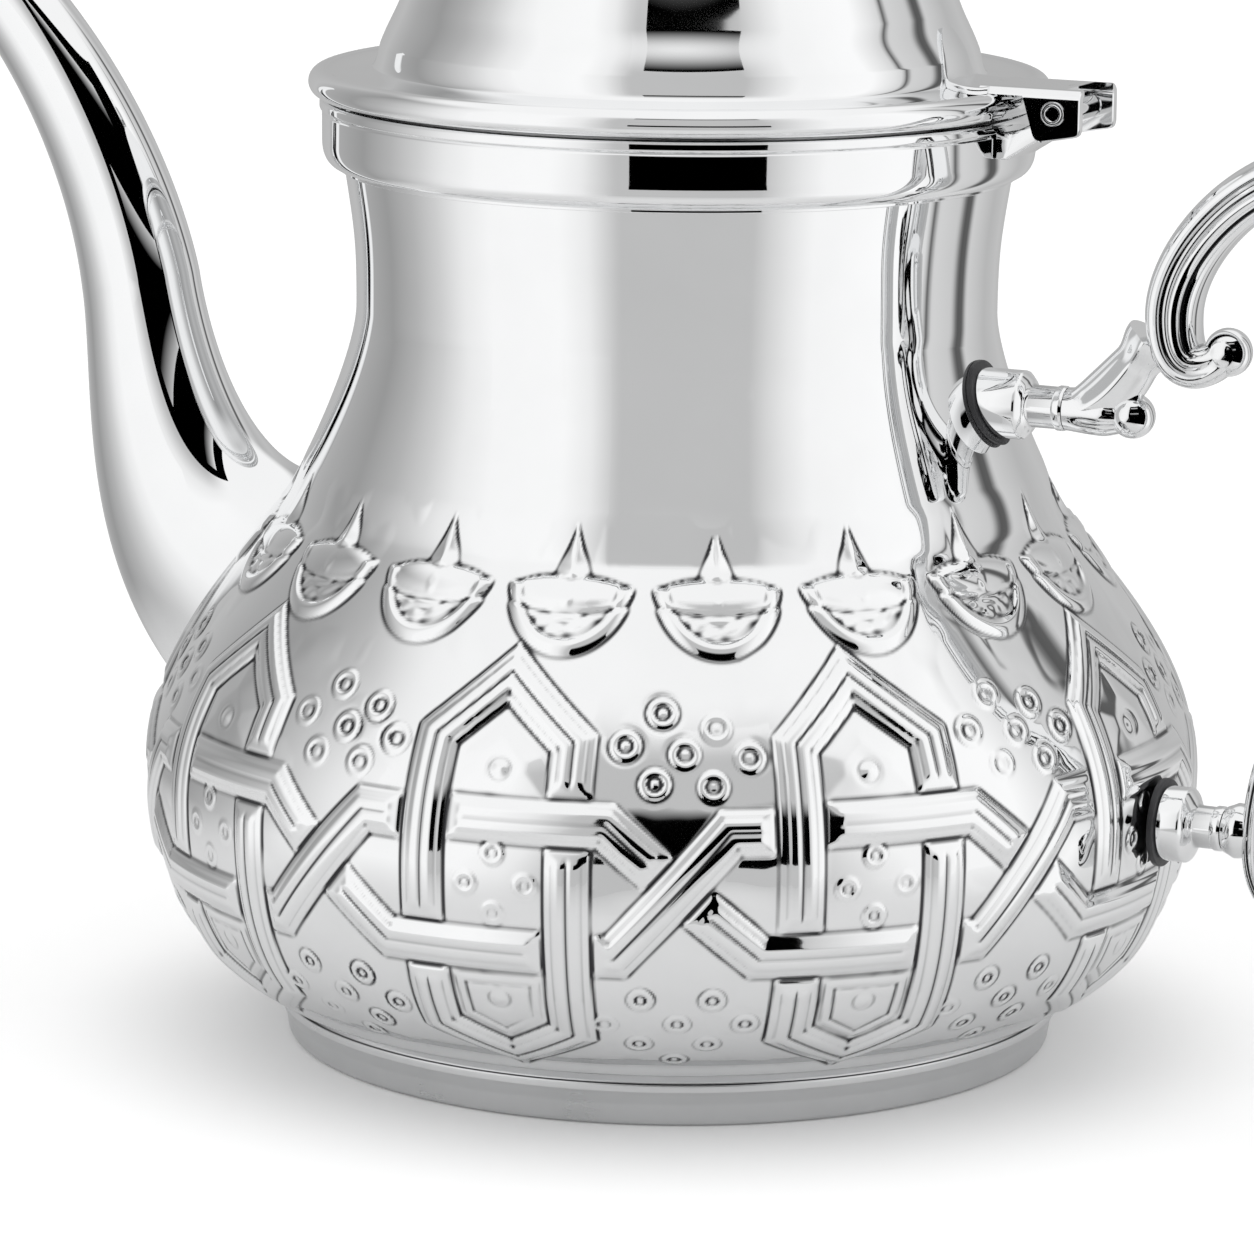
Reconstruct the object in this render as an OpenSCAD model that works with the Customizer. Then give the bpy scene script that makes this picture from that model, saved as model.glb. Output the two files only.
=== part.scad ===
// Moroccan teapot: a spun metal pot with a swan-neck spout, a cast scroll handle
// on insulated ferrules and a hinged bell lid.
// The origin is on the pot's axis at the table. +Z is up, +X points to the handle.

/* [Body] */
// Radius of the seam between the foot ring and the body
seam_r = 53.7; // [50:0.1:57]
// Largest radius of the belly
belly_r = 71.8; // [66:0.1:77]
// Height of the largest radius above the foot ring
belly_rise = 31.2; // [27:0.1:36]
// Radius where the shoulder turns from convex to concave
shoulder_r = 52.9; // [49:0.1:56]
// Height of that turn above the belly's largest radius
shoulder_rise = 36.7; // [33:0.1:42]
// Lean of the shoulder wall from the vertical, degrees
shoulder_lean = 37.4; // [30:0.1:45]
// Radius of the narrowest part of the neck
waist_r = 43.2; // [40:0.1:46]
// Height of the narrowest part above the shoulder turn
waist_rise = 26.1; // [22:0.1:32]
// Radius of the neck where it enters the rim collar
neck_r = 44.8; // [43.5:0.1:48]
// Height of the collar's lower edge above the narrowest part
neck_rise = 18.3; // [14:0.1:24]
// Thickness of the sheet metal
wall = 0.9; // [0.7:0.05:1.3]

/* [Foot] */
// Height of the foot ring
foot_h = 6.1; // [4.5:0.1:9]
// Radius of the foot ring's outer edge at the table
foot_r = 52.2; // [49:0.1:53.5]
// Width of the foot ring's section
foot_w = 3.6; // [2.8:0.1:5]

/* [Rim collar] */
// Height of the collar
collar_h = 9.6; // [7:0.1:13]
// Width of the collar beyond the neck
collar_w = 3.4; // [2.8:0.1:5]
// Thickness of the collar's lip over the neck's edge
lip_t = 0.9; // [0.7:0.05:1.4]

/* [Lid] */
// Overhang of the lid's rim beyond the collar
lid_over = 1.5; // [1.2:0.1:4]
// Radius of the rolled rim's section
lid_roll_r = 1.85; // [1.5:0.05:2.6]
// Radius of the bell where it leaves the flange
bell_r = 41.0; // [38:0.1:43]
// Radius of the bell's flank above its hollow foot
flank_r = 37.5; // [34:0.1:39.5]
// Height of that flank point above the flange
flank_rise = 9.0; // [6:0.1:11]
// Height of the crown above that flank point
crown_rise = 35; // [26:0.5:44]
// Radius of the flat on the crown
crown_r = 6.5; // [5.5:0.1:9]
// Depth of the skirt that drops into the neck
skirt_h = 11.8; // [8:0.1:16]
// Radial clearance between the skirt and the mouth
skirt_gap = 0.75; // [0.6:0.05:1.5]
// Gap between the closed lid and the collar
lid_gap = 0.3; // [0.2:0.05:0.6]

/* [Finial] */
// Radius of the metal seat under the finial
seat_r = 9; // [7:0.1:12]
// Radius of the insulating disc
disc_r = 7; // [5:0.1:9]
// Thickness of the insulating disc
disc_t = 2; // [1:0.1:4]
// Largest radius of the knob
knob_r = 8.2; // [6:0.1:11]
// Height of the knob
knob_h = 25; // [18:0.5:34]

/* [Hinge] */
// Distance from the lid's rim to the pin's axis
pin_out = 6.7; // [5.2:0.1:8]
// Height of the pin's axis above the collar
pin_rise = 1.9; // [1:0.05:3]
// Radius of the hinge pin's shank
pin_r = 1.1; // [0.9:0.05:1.3]
// Radius of the hinge pin's rolled heads
pin_head_r = 1.6; // [1.5:0.05:2.2]
// Radial running clearance of the pin in the bracket
pin_play = 0.05; // [0.02:0.01:0.1]
// Width of the hinge over both ears
hinge_w = 13.6; // [12:0.1:18]
// Thickness of each ear
ear_t = 1.4; // [1.2:0.1:2]
// Length of an ear along the handle direction
ear_l = 8.0; // [7:0.1:9]
// Height of an ear
ear_h = 7.1; // [6.6:0.1:8.4]
// Side gap between the bracket's barrel and an ear
ear_gap = 0.35; // [0.3:0.05:0.8]
// Wall of the bracket's barrel
barrel_wall = 0.7; // [0.6:0.05:0.9]
// Thickness of the hinge leaf on the lid
leaf_t = 1; // [0.8:0.1:1.6]
// Radius of the bend between the leaf and an ear
bend_r = 1.5; // [1.1:0.1:2]
// Reach of the leaf's round end from the lid's rim up the bell
leaf_reach = 11.3; // [9:0.1:13]

/* [Handle mounts] */
// Height of the upper mount above the table
upper_z = 90.4; // [84:0.1:96]
// Height of the lower mount above the table
lower_z = 36.3; // [31:0.1:42]
// Thickness of the insulating washers
insul_t = 0.8; // [0.5:0.1:1.6]
// Overhang of the insulating washers beyond the ferrules
insul_over = 0.9; // [0.3:0.1:1.6]
// Radius of the upper ferrule
upper_fer_r = 4.6; // [4.2:0.1:6]
// Length of the upper ferrule
upper_fer_l = 5.6; // [4.5:0.1:8]
// Radius of the lower ferrule
lower_fer_r = 5; // [4.2:0.1:6.5]
// Length of the lower ferrule
lower_fer_l = 3.9; // [3:0.1:7]
// Radius of the stems behind the ferrules
stem_r = 3; // [2.8:0.1:3.6]
// Length of the upper stem
upper_stem_l = 5.2; // [4:0.1:8]
// Length of the lower stem
lower_stem_l = 4.2; // [3:0.1:8]
// Length of the chamfer between ferrule and stem
fer_cham = 1.0; // [0.6:0.1:1.4]
// Radius of the threaded studs
stud_r = 2; // [1.5:0.1:2.1]
// Radial clearance round the studs
stud_play = 0.05; // [0.03:0.01:0.1]

/* [Handle scroll] */
// Thickness of the handle bar in the plane of the scroll
bar_t = 7.0; // [6:0.1:8.5]
// Width of the handle bar across the pot
bar_w = 8.4; // [6.5:0.1:10]
// Radius of the ball at each volute
volute_r = 3.2; // [2.8:0.1:3.8]
// Distance from the upper stem's end to the scroll's back
arm_reach = 14.4; // [12:0.1:17]
// Reach of the grip beyond the upper scroll
grip_reach = 38; // [32:0.5:44]
// Rise of the grip's top above the upper scroll
grip_rise = 20.5; // [16:0.5:26]
// Radius of the ball that ends the bud
bud_r = 3.0; // [2.4:0.1:3.4]

/* [Spout] */
// Distance of the spout's middle from the axis
spout_mid_x = 83.2; // [79:0.1:90]
// Height of the spout's middle
spout_mid_z = 97.5; // [92:0.1:103]
// Distance of the spout's tip from the axis
spout_tip_x = 117; // [108:0.5:126]
// Height of the spout's tip
spout_tip_z = 148; // [138:0.5:158]
// Height of the spout's root inside the belly
spout_root_z = 52.5; // [47:0.1:56]
// Half height of the tube at its middle
spout_mid_r = 8.7; // [7.5:0.1:10]
// Half height of the tube at the tip
spout_tip_r = 5.2; // [4.4:0.1:6.5]
// Growth of the half height from the middle to the root
spout_flare = 14; // [10:0.1:17]
// Width of the tube as a share of its height at the root
spout_oval_root = 0.62; // [0.5:0.01:0.8]
// Width of the tube as a share of its height at the tip
spout_oval_tip = 0.92; // [0.8:0.01:1]
// Radius of the strainer holes
hole_r = 1.7; // [1.2:0.1:2.2]
// Spacing of the strainer holes
hole_pitch = 6; // [5:0.1:7.5]

/* [Hidden] */
$fn = 96;
EPS = 0.02;

SILVER = [0.82, 0.83, 0.84];
SATIN = [0.72, 0.73, 0.74];
BLACK = [0.07, 0.07, 0.08];

// ---- heights and radii that follow from the driving sizes ----
belly_z = foot_h + belly_rise;
shoulder_z = belly_z + shoulder_rise;
waist_z = shoulder_z + waist_rise;
neck_z = waist_z + neck_rise;
collar_top = neck_z + collar_h;
neck_top = collar_top - lip_t - EPS;
collar_r = neck_r + collar_w;
mouth_r = neck_r - wall;
lid_z = collar_top + lid_gap;
lid_r = collar_r + lid_over;
flange_z = lid_z + 2 * lid_roll_r;
flank_z = flange_z + flank_rise;
crown_z = flank_z + crown_rise;
pin_x = lid_r + pin_out;
pin_z = collar_top + pin_rise;

// ---- curves ----
function bez(p, t) =
    pow(1 - t, 3) * p[0] + 3 * t * pow(1 - t, 2) * p[1]
    + 3 * t * t * (1 - t) * p[2] + pow(t, 3) * p[3];
function bez_dir(p, t) =
    let (d = pow(1 - t, 2) * (p[1] - p[0]) + 2 * t * (1 - t) * (p[2] - p[1])
        + t * t * (p[3] - p[2]))
    d / norm(d);
// Points and unit directions of a chain of cubic curves, n steps a curve.
function chain(curves, n) = [
    for (c = [0:len(curves) - 1]) for (i = [0:n - (c < len(curves) - 1 ? 1 : 0)])
    bez(curves[c], i / n)
];
function chain_dir(curves, n) = [
    for (c = [0:len(curves) - 1]) for (i = [0:n - (c < len(curves) - 1 ? 1 : 0)])
    bez_dir(curves[c], i / n)
];
// Moves a profile of [r, z] points sideways, out of the solid when by is positive.
function shift_out(pts, dirs, by) = [
    for (i = [0:len(pts) - 1]) pts[i] + by * [dirs[i][1], -dirs[i][0]]
];

// ---- body profile, from the seam up to the collar ----
LEAN = [-sin(shoulder_lean), cos(shoulder_lean)];
NECK_DIR = [sin(9), cos(9)];
BODY_CURVES = [
    [[seam_r, foot_h], [seam_r + 3.3, foot_h + 3.2],
        [belly_r, belly_z - belly_rise * 0.82], [belly_r, belly_z]],
    [[belly_r, belly_z], [belly_r, belly_z + shoulder_rise * 0.3],
        [shoulder_r, shoulder_z] - LEAN * shoulder_rise * 0.6, [shoulder_r, shoulder_z]],
    [[shoulder_r, shoulder_z], [shoulder_r, shoulder_z] + LEAN * 3,
        [waist_r, waist_z - waist_rise * 0.28], [waist_r, waist_z]],
    [[waist_r, waist_z], [waist_r, waist_z + neck_rise * 0.45],
        [neck_r, neck_z] - NECK_DIR * neck_rise * 0.45, [neck_r, neck_z]]
];
BODY_STEPS = 12;
BODY_PTS = chain(BODY_CURVES, BODY_STEPS);
BODY_DIRS = chain_dir(BODY_CURVES, BODY_STEPS);
// Radius of the body's outside at a height, by linear steps between its points.
function body_r_at(z) = lookup(z, [for (p = BODY_PTS) [p[1], p[0]]]);

// Outline of everything inside the body's outer skin moved out by a distance.
function body_solid(by) = concat(
    [[0, foot_h]], shift_out(BODY_PTS, BODY_DIRS, by),
    [[neck_r + by, neck_z + EPS], [neck_r + by, neck_top], [0, neck_top]]
);
module body_mass(by) {
    rotate_extrude() polygon(body_solid(by));
}

// ---- the body and what closes it ----
INNER_PTS = shift_out(BODY_PTS, BODY_DIRS, -wall);
SEAM_AT = 2 * BODY_STEPS;
// The belly ends at the shoulder, in a face square to the sheet, where the neck is soldered on.
module body_shell() {
    // the inner skin runs on to the foot seam's plane, so the sheet ends flat there
    start = [INNER_PTS[0][0] - wall * 0.6, foot_h];
    color(SILVER)
    difference() {
        rotate_extrude() polygon(concat(
            [for (i = [0:SEAM_AT]) BODY_PTS[i]],
            [for (i = [SEAM_AT:-1:0]) INNER_PTS[i]],
            [start]
        ));
        stud_hole(lower_z);
        strainer_holes();
    }
}

module neck_shell() {
    last = len(BODY_PTS) - 1;
    lift = EPS * BODY_DIRS[SEAM_AT];
    color(SILVER)
    difference() {
        rotate_extrude() polygon(concat(
            [BODY_PTS[SEAM_AT] + lift],
            [for (i = [SEAM_AT + 1:last]) BODY_PTS[i]],
            [[neck_r, neck_top], [mouth_r, neck_top]],
            [for (i = [last:-1:SEAM_AT + 1]) INNER_PTS[i]],
            [INNER_PTS[SEAM_AT] + lift]
        ));
        stud_hole(upper_z);
    }
}

module stud_hole(z) {
    translate([waist_r - 15, 0, z]) rotate([0, 90, 0])
        cylinder(r = stud_r + stud_play, h = belly_r);
}

// Seven holes through the wall behind the spout's root: one and a ring of six.
STRAINER_Z = 62.5;
module strainer_holes() {
    for (i = [-1:5]) {
        ring = i < 0 ? 0 : hole_pitch;
        translate([-belly_r, ring * sin(60 * i), STRAINER_Z + ring * cos(60 * i)])
            rotate([0, 90, 0]) cylinder(r = hole_r, h = belly_r - 30);
    }
}

BASE_GAP = 0.1;
base_r = seam_r - wall * 2.2 - BASE_GAP;
module base_disc() {
    color(SATIN) translate([0, 0, foot_h]) cylinder(r = base_r, h = wall);
}

module foot_ring() {
    round_r = 0.9;
    color(SATIN)
    rotate_extrude() polygon(concat(
        [[foot_r - foot_w, 0]],
        [for (a = [-90:15:0]) [foot_r - round_r + round_r * cos(a), round_r + round_r * sin(a)]],
        [[seam_r, foot_h * 0.72], [seam_r, foot_h], [base_r - 2, foot_h],
            [foot_r - foot_w, foot_h - 2]]
    ));
}

COLLAR_TOE = 0.6;
COLLAR_ROUND = 0.8;
collar_bend_z = neck_z + collar_h * 0.3;
module rim_collar() {
    color(SILVER)
    rotate_extrude() polygon(concat(
        [[neck_r + EPS, neck_z], [neck_r + COLLAR_TOE, neck_z]],
        // quarter round up to the upright band
        [for (a = [0:10:90]) [neck_r + COLLAR_TOE + (collar_w - 2 * COLLAR_TOE) * sin(a),
            neck_z + (collar_bend_z - neck_z) * (1 - cos(a))]],
        [for (a = [0:15:90]) [collar_r - COLLAR_ROUND + COLLAR_ROUND * cos(a),
            collar_top - COLLAR_ROUND + COLLAR_ROUND * sin(a)]],
        [for (a = [0:15:90]) [mouth_r + lip_t / 2 - lip_t / 2 * sin(a),
            collar_top - lip_t / 2 + lip_t / 2 * cos(a)]],
        [[mouth_r, neck_top + EPS], [neck_r + EPS, neck_top + EPS]]
    ));
}

// ---- sweeps ----
// A closed tube of oval rings along a path of [x, z] points in the XZ plane.
// a and b are the half sizes in the plane and across it, one pair a ring.
module sweep(path, dirs, a, b, sides) {
    n = len(path);
    pts = [
        for (i = [0:n - 1]) for (k = [0:sides - 1])
        let (u = a[i] * cos(360 * k / sides), v = b[i] * sin(360 * k / sides))
        [path[i][0] + u * dirs[i][1], v, path[i][1] - u * dirs[i][0]]
    ];
    skin = [
        for (i = [0:n - 2]) for (k = [0:sides - 1])
        let (j = (k + 1) % sides)
        [i * sides + k, (i + 1) * sides + k, (i + 1) * sides + j, i * sides + j]
    ];
    ends = [
        [for (k = [0:sides - 1]) k],
        [for (k = [sides - 1:-1:0]) (n - 1) * sides + k]
    ];
    polyhedron(points = pts, faces = concat(skin, ends), convexity = 6);
}

// ---- spout ----
spout_low = spout_mid_z - spout_root_z;
spout_high = spout_tip_z - spout_mid_z;
spout_bow = 0.3 * spout_mid_r;
SPOUT_CURVES = [
    [[-0.78 * belly_r, spout_root_z], [-spout_mid_x + 2 * spout_bow, spout_root_z + 0.144 * spout_low],
        [-spout_mid_x + spout_bow, spout_mid_z - 0.344 * spout_low], [-spout_mid_x, spout_mid_z]],
    [[-spout_mid_x, spout_mid_z], [-spout_mid_x - spout_bow, spout_mid_z + 0.267 * spout_high],
        [-0.35 * spout_tip_x - 0.65 * spout_mid_x, spout_tip_z - 0.317 * spout_high],
        [-spout_tip_x, spout_tip_z]]
];
SPOUT_STEPS = 14;
SPOUT_SIDES = 32;
SPOUT_PTS = chain(SPOUT_CURVES, SPOUT_STEPS);
SPOUT_DIRS = chain_dir(SPOUT_CURVES, SPOUT_STEPS);
// u runs from 0 at the root over 1 at the middle to 2 at the tip.
function spout_half(u) = u < 1
    ? spout_mid_r + spout_flare * pow(1 - u, 1.7)
    : spout_mid_r + (spout_tip_r - spout_mid_r) * pow(u - 1, 1.15);
function spout_oval(u) = spout_oval_root
    + (spout_oval_tip - spout_oval_root) * sin(45 * u);
SPOUT_A = [for (i = [0:2 * SPOUT_STEPS]) spout_half(i / SPOUT_STEPS)];
SPOUT_B = [for (i = [0:2 * SPOUT_STEPS]) spout_half(i / SPOUT_STEPS) * spout_oval(i / SPOUT_STEPS)];
SPOUT_SEAT = 0.1;

module spout_skin(less, over) {
    last = len(SPOUT_PTS) - 1;
    path = [for (i = [0:last]) SPOUT_PTS[i] + (i == last ? over * SPOUT_DIRS[i] : [0, 0])];
    sweep(path, SPOUT_DIRS, [for (a = SPOUT_A) a - less], [for (b = SPOUT_B) b - less], SPOUT_SIDES);
}

module spout() {
    color(SILVER)
    difference() {
        spout_skin(0, 0);
        spout_skin(wall, 1);
        body_mass(SPOUT_SEAT);
    }
}

// ---- handle mounts ----
// Everything that stands on the body's skin is cut to it at a set distance.
module on_skin(near, far) {
    intersection() {
        difference() {
            body_mass(far);
            body_mass(near);
        }
        children();
    }
}
module along_x(z) {
    translate([0, 0, z]) rotate([0, 90, 0]) children();
}

module insulator(z, r) {
    color(BLACK)
    on_skin(EPS, insul_t)
    difference() {
        along_x(z) cylinder(r = r + insul_over, h = belly_r + 10);
        along_x(z) cylinder(r = stud_r + stud_play, h = belly_r + 20);
    }
}
module upper_insulator() {
    insulator(upper_z, upper_fer_r);
}
module lower_insulator() {
    insulator(lower_z, lower_fer_r);
}

upper_seat_x = body_r_at(upper_z) + insul_t;
lower_seat_x = body_r_at(lower_z) + insul_t;
upper_fer_end = upper_seat_x + upper_fer_l;
lower_fer_end = lower_seat_x + lower_fer_l;
upper_stem_end = upper_fer_end + upper_stem_l;
lower_stem_end = lower_fer_end + lower_stem_l;
STUD_END = 2.2;

module ferrule(z, seat_x, r, fer_end, stem_end) {
    back = 8;
    color(SILVER)
    difference() {
        along_x(z) rotate_extrude() polygon([
            [0, seat_x - back], [r, seat_x - back], [r, fer_end - fer_cham],
            [stem_r + 0.4, fer_end], [stem_r, fer_end + 0.5], [stem_r, stem_end], [0, stem_end]
        ]);
        body_mass(insul_t + EPS);
        along_x(z) cylinder(r = stud_r + stud_play, h = stem_end - STUD_END);
    }
}
module upper_ferrule() {
    ferrule(upper_z, upper_seat_x, upper_fer_r, upper_fer_end, upper_stem_end);
}
module lower_ferrule() {
    ferrule(lower_z, lower_seat_x, lower_fer_r, lower_fer_end, lower_stem_end);
}

NUT_R = 4;
NUT_H = 3.2;
WASHER_T = 1;
WASHER_R = 6;
STUD_TAIL = 1.5;
// A nut's face lies inside the washer's highest point under it.
function nut_face(z) = min([for (d = [-NUT_R, 0, NUT_R]) body_r_at(z + d)]) - wall - WASHER_T - 0.4;
module stud(z, stem_end) {
    start = nut_face(z) - NUT_H - STUD_TAIL;
    color(SATIN)
    translate([start, 0, 0]) along_x(z) cylinder(r = stud_r, h = stem_end - STUD_END - 0.2 - start);
}
module upper_stud() {
    stud(upper_z, upper_stem_end);
}
module lower_stud() {
    stud(lower_z, lower_stem_end);
}
module hex_nut() {
    difference() {
        cylinder(r = NUT_R, h = NUT_H, $fn = 6);
        translate([0, 0, -1]) cylinder(r = stud_r + stud_play, h = NUT_H + 2);
    }
}
module handle_nuts() {
    color(SATIN)
    for (z = [upper_z, lower_z]) translate([nut_face(z) - NUT_H, 0, 0]) along_x(z) hex_nut();
}
module handle_washers() {
    color(SATIN)
    for (z = [upper_z, lower_z]) on_skin(-wall - WASHER_T, -wall - EPS)
        difference() {
            along_x(z) cylinder(r = WASHER_R, h = belly_r);
            along_x(z) cylinder(r = stud_r + stud_play, h = belly_r + 1);
        }
}

// ---- handle casting ----
half_t = bar_t / 2;
half_w = bar_w / 2;
// Back of the upper scroll, where its left side stands upright.
back_x = upper_stem_end + arm_reach;
back_z = upper_z + 13.6;
top_x = back_x + 22;
top_z = back_z + grip_rise;
far_x = back_x + grip_reach;
far_z = back_z - 8;
foot_x = lower_stem_end + 2.6 + half_t;
foot_z = lower_z - 1;
GRIP_CURVES = [
    [[back_x + 7.6, back_z - 4.4], [back_x + 3.2, back_z - 8.6],
        [back_x, back_z - 6.5], [back_x, back_z]],
    [[back_x, back_z], [back_x, back_z + 9],
        [top_x - 11, top_z], [top_x, top_z]],
    [[top_x, top_z], [top_x + 10, top_z],
        [far_x, far_z + 14], [far_x, far_z]],
    [[far_x, far_z], [far_x, far_z - 24],
        [foot_x, foot_z + 24], [foot_x, foot_z]],
    [[foot_x, foot_z], [foot_x, foot_z - 7],
        [foot_x + 3.5, foot_z - 10], [foot_x + 8.2, foot_z - 5.6]]
];
GRIP_STEPS = 12;
GRIP_SIDES = 16;
GRIP_PTS = chain(GRIP_CURVES, GRIP_STEPS);
GRIP_DIRS = chain_dir(GRIP_CURVES, GRIP_STEPS);
// The bar thins to its ends and stays even along the grip.
GRIP_N = 5 * GRIP_STEPS;
function taper(i) = let (d = min(i, GRIP_N - i) / (1.2 * GRIP_STEPS))
    0.66 + 0.34 * sin(90 * min(1, d));
GRIP_A = [for (i = [0:GRIP_N]) half_t * taper(i)];
GRIP_B = [for (i = [0:GRIP_N]) half_w * taper(i)];
module handle_grip() {
    color(SILVER) {
        union() {
            sweep(GRIP_PTS, GRIP_DIRS, GRIP_A, GRIP_B, GRIP_SIDES);
            for (p = [GRIP_PTS[0], GRIP_PTS[GRIP_N]])
                translate([p[0], 0, p[1]]) sphere(r = volute_r, $fn = 24);
        }
    }
}

// The upper arm splits behind its stem: one branch carries the scroll, the other is the bud.
ARM_CURVE = [[
    [upper_stem_end + EPS, upper_z], [upper_stem_end + 5, upper_z],
    [upper_stem_end + 8, upper_z + 5], [back_x - half_t + 0.8, back_z - 3.4]
]];
BUD_CURVE = [[
    [upper_stem_end + EPS, upper_z], [upper_stem_end + 3, upper_z],
    [upper_stem_end + 6, upper_z - 0.2], [upper_stem_end + 9, upper_z - 0.2]
]];
ARM_STEPS = 12;
module handle_upper_arm() {
    color(SILVER)
    difference() {
        union() {
            sweep(chain(ARM_CURVE, ARM_STEPS), chain_dir(ARM_CURVE, ARM_STEPS),
                [for (i = [0:ARM_STEPS]) stem_r - 0.3 + 1.1 * sin(180 * i / ARM_STEPS)],
                [for (i = [0:ARM_STEPS]) stem_r - 0.2], 16);
            sweep(chain(BUD_CURVE, ARM_STEPS), chain_dir(BUD_CURVE, ARM_STEPS),
                [for (i = [0:ARM_STEPS]) stem_r - 1.0 * sin(90 * i / ARM_STEPS)],
                [for (i = [0:ARM_STEPS]) stem_r - 0.9 * sin(90 * i / ARM_STEPS)], 16);
            translate([upper_stem_end + 9, 0, upper_z - 0.2]) sphere(r = bud_r, $fn = 24);
        }
        handle_grip_mass();
    }
}
module handle_grip_mass() {
    sweep(GRIP_PTS, GRIP_DIRS, GRIP_A, GRIP_B, GRIP_SIDES);
}
module handle_lower_arm() {
    color(SILVER)
    difference() {
        along_x(lower_z) rotate_extrude($fn = 32) polygon([
            [0, lower_stem_end + EPS], [stem_r, lower_stem_end + EPS],
            [stem_r + 0.7, lower_stem_end + 1.6], [stem_r + 0.2, lower_stem_end + 5], [0, lower_stem_end + 5]
        ]);
        handle_grip_mass();
    }
}

// ---- lid ----
roll_x = lid_r - lid_roll_r;
roll_z = lid_z + lid_roll_r;
skirt_r = mouth_r - skirt_gap;
// The flange runs out over the roll and meets it at this angle above its middle.
ROLL_MEET = 50;
// The bell narrows by this from its foot to the flank, wherever the two radii lie.
bell_taper = bell_r - flank_r;
BELL_CURVES = [
    [[roll_x, roll_z] + lid_roll_r * [cos(ROLL_MEET), sin(ROLL_MEET)], [roll_x - 2, flange_z - 0.05],
        [bell_r + 0.4, flange_z + 0.3], [bell_r - 0.26 * bell_taper, flange_z + 3.2]],
    [[bell_r - 0.26 * bell_taper, flange_z + 3.2], [bell_r - 0.51 * bell_taper, flange_z + 5.6],
        [flank_r + 0.23 * bell_taper, flank_z - 2], [flank_r, flank_z]],
    [[flank_r, flank_z], [flank_r - 6, flank_z + 15],
        [crown_r + 17, crown_z], [crown_r, crown_z]]
];
BELL_STEPS = 9;
BELL_PTS = chain(BELL_CURVES, BELL_STEPS);
BELL_DIRS = chain_dir(BELL_CURVES, BELL_STEPS);
module lid_dome() {
    inner = shift_out(BELL_PTS, BELL_DIRS, -wall);
    under_z = flange_z - wall - 0.1;
    // the inner skin is flat under the flange and follows the bell above it
    keep = [for (p = inner) if (p[1] > under_z + 0.3 && p[0] < bell_r) p];
    color(SILVER)
    difference() {
        rotate_extrude() polygon(concat(
            [for (a = [180:10:360 + ROLL_MEET]) [roll_x, roll_z] + lid_roll_r * [cos(a), sin(a)]],
            [for (i = [1:len(BELL_PTS) - 1]) BELL_PTS[i]],
            [[0, crown_z], [0, crown_z - wall]],
            [for (i = [len(keep) - 1:-1:0]) keep[i]],
            [[bell_r - 1.2, under_z], [roll_x - lid_roll_r, under_z]]
        ));
        translate([0, 0, crown_z - 5]) cylinder(r = stud_r + stud_play, h = 10);
    }
}
module lid_skirt() {
    top = flange_z - wall - 0.1;
    color(SATIN)
    translate([0, 0, top - skirt_h]) difference() {
        cylinder(r = skirt_r, h = skirt_h);
        translate([0, 0, -1]) cylinder(r = skirt_r - wall, h = skirt_h + 2);
    }
}

// ---- hinge ----
barrel_r = pin_r + pin_play + barrel_wall;
inner_w = hinge_w - 2 * ear_t;
module hinge_bracket() {
    w = inner_w - 2 * ear_gap;
    arm_z = neck_z + collar_h * 0.7;
    arm_h = 1.8;
    color(SILVER)
    difference() {
        union() {
            rotate([90, 0, 0]) translate([pin_x, pin_z, -w / 2]) cylinder(r = barrel_r, h = w);
            rotate([90, 0, 0]) translate([0, 0, -w / 2]) linear_extrude(w) polygon([
                [pin_x + barrel_r * 0.6, pin_z - barrel_r * 0.8],
                [pin_x - barrel_r * 0.9, pin_z - barrel_r * 0.4],
                [lid_r + 0.4, lid_z - 1.4],
                [collar_r - 1, arm_z + arm_h], [collar_r - 1, arm_z - arm_h],
                [collar_r + 1.2, arm_z - arm_h]
            ]);
        }
        rotate([90, 0, 0]) translate([pin_x, pin_z, -w]) cylinder(r = pin_r + pin_play, h = 2 * w);
        // the foot is cut to the collar's upright band
        translate([0, 0, collar_bend_z]) cylinder(
            r1 = collar_r - COLLAR_TOE + EPS, r2 = collar_r + EPS,
            h = collar_top - COLLAR_ROUND - collar_bend_z
        );
    }
}

// The leaf is a strip that lies on the lid's flange, climbs the bell with a round end
// and is bent down behind the rim into an ear on each side of the barrel.
plate_x = roll_x - 2;
plate_z = max(flange_z + EPS, pin_z + barrel_r + 0.25);
leaf_top = plate_z + leaf_t;
ear_rear = pin_x + ear_l * 0.46;
module hinge_leaf() {
    color(SILVER)
    difference() {
        union() {
            intersection() {
                leaf_plan();
                rotate_extrude() polygon(leaf_band(leaf_t));
            }
            intersection() {
                translate([plate_x, 0, 0]) rotate([90, 0, 90])
                    linear_extrude(ear_rear - plate_x) polygon(channel_section());
                rotate([90, 0, 0]) translate([0, 0, -hinge_w]) linear_extrude(2 * hinge_w)
                    polygon(channel_side());
            }
        }
        rotate([90, 0, 0]) translate([pin_x, pin_z, -hinge_w]) cylinder(r = pin_r, h = 2 * hinge_w);
        rotate_extrude() polygon(lid_keepout());
        // the strip ends just behind the barrel, the ears reach on
        translate([pin_x + 1.2, -inner_w / 2, plate_z - 1]) cube([ear_l, inner_w, leaf_t + 2]);
    }
}
// Seen from above: as wide as the hinge, with a half round at the bell.
module leaf_plan() {
    end_x = lid_r - leaf_reach + hinge_w / 2;
    translate([0, 0, flange_z - 3]) {
        translate([end_x, 0, 0]) cylinder(r = hinge_w / 2, h = leaf_reach + 6);
        translate([end_x, -hinge_w / 2, 0]) cube([roll_x - end_x, hinge_w, leaf_reach + 6]);
    }
}
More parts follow.
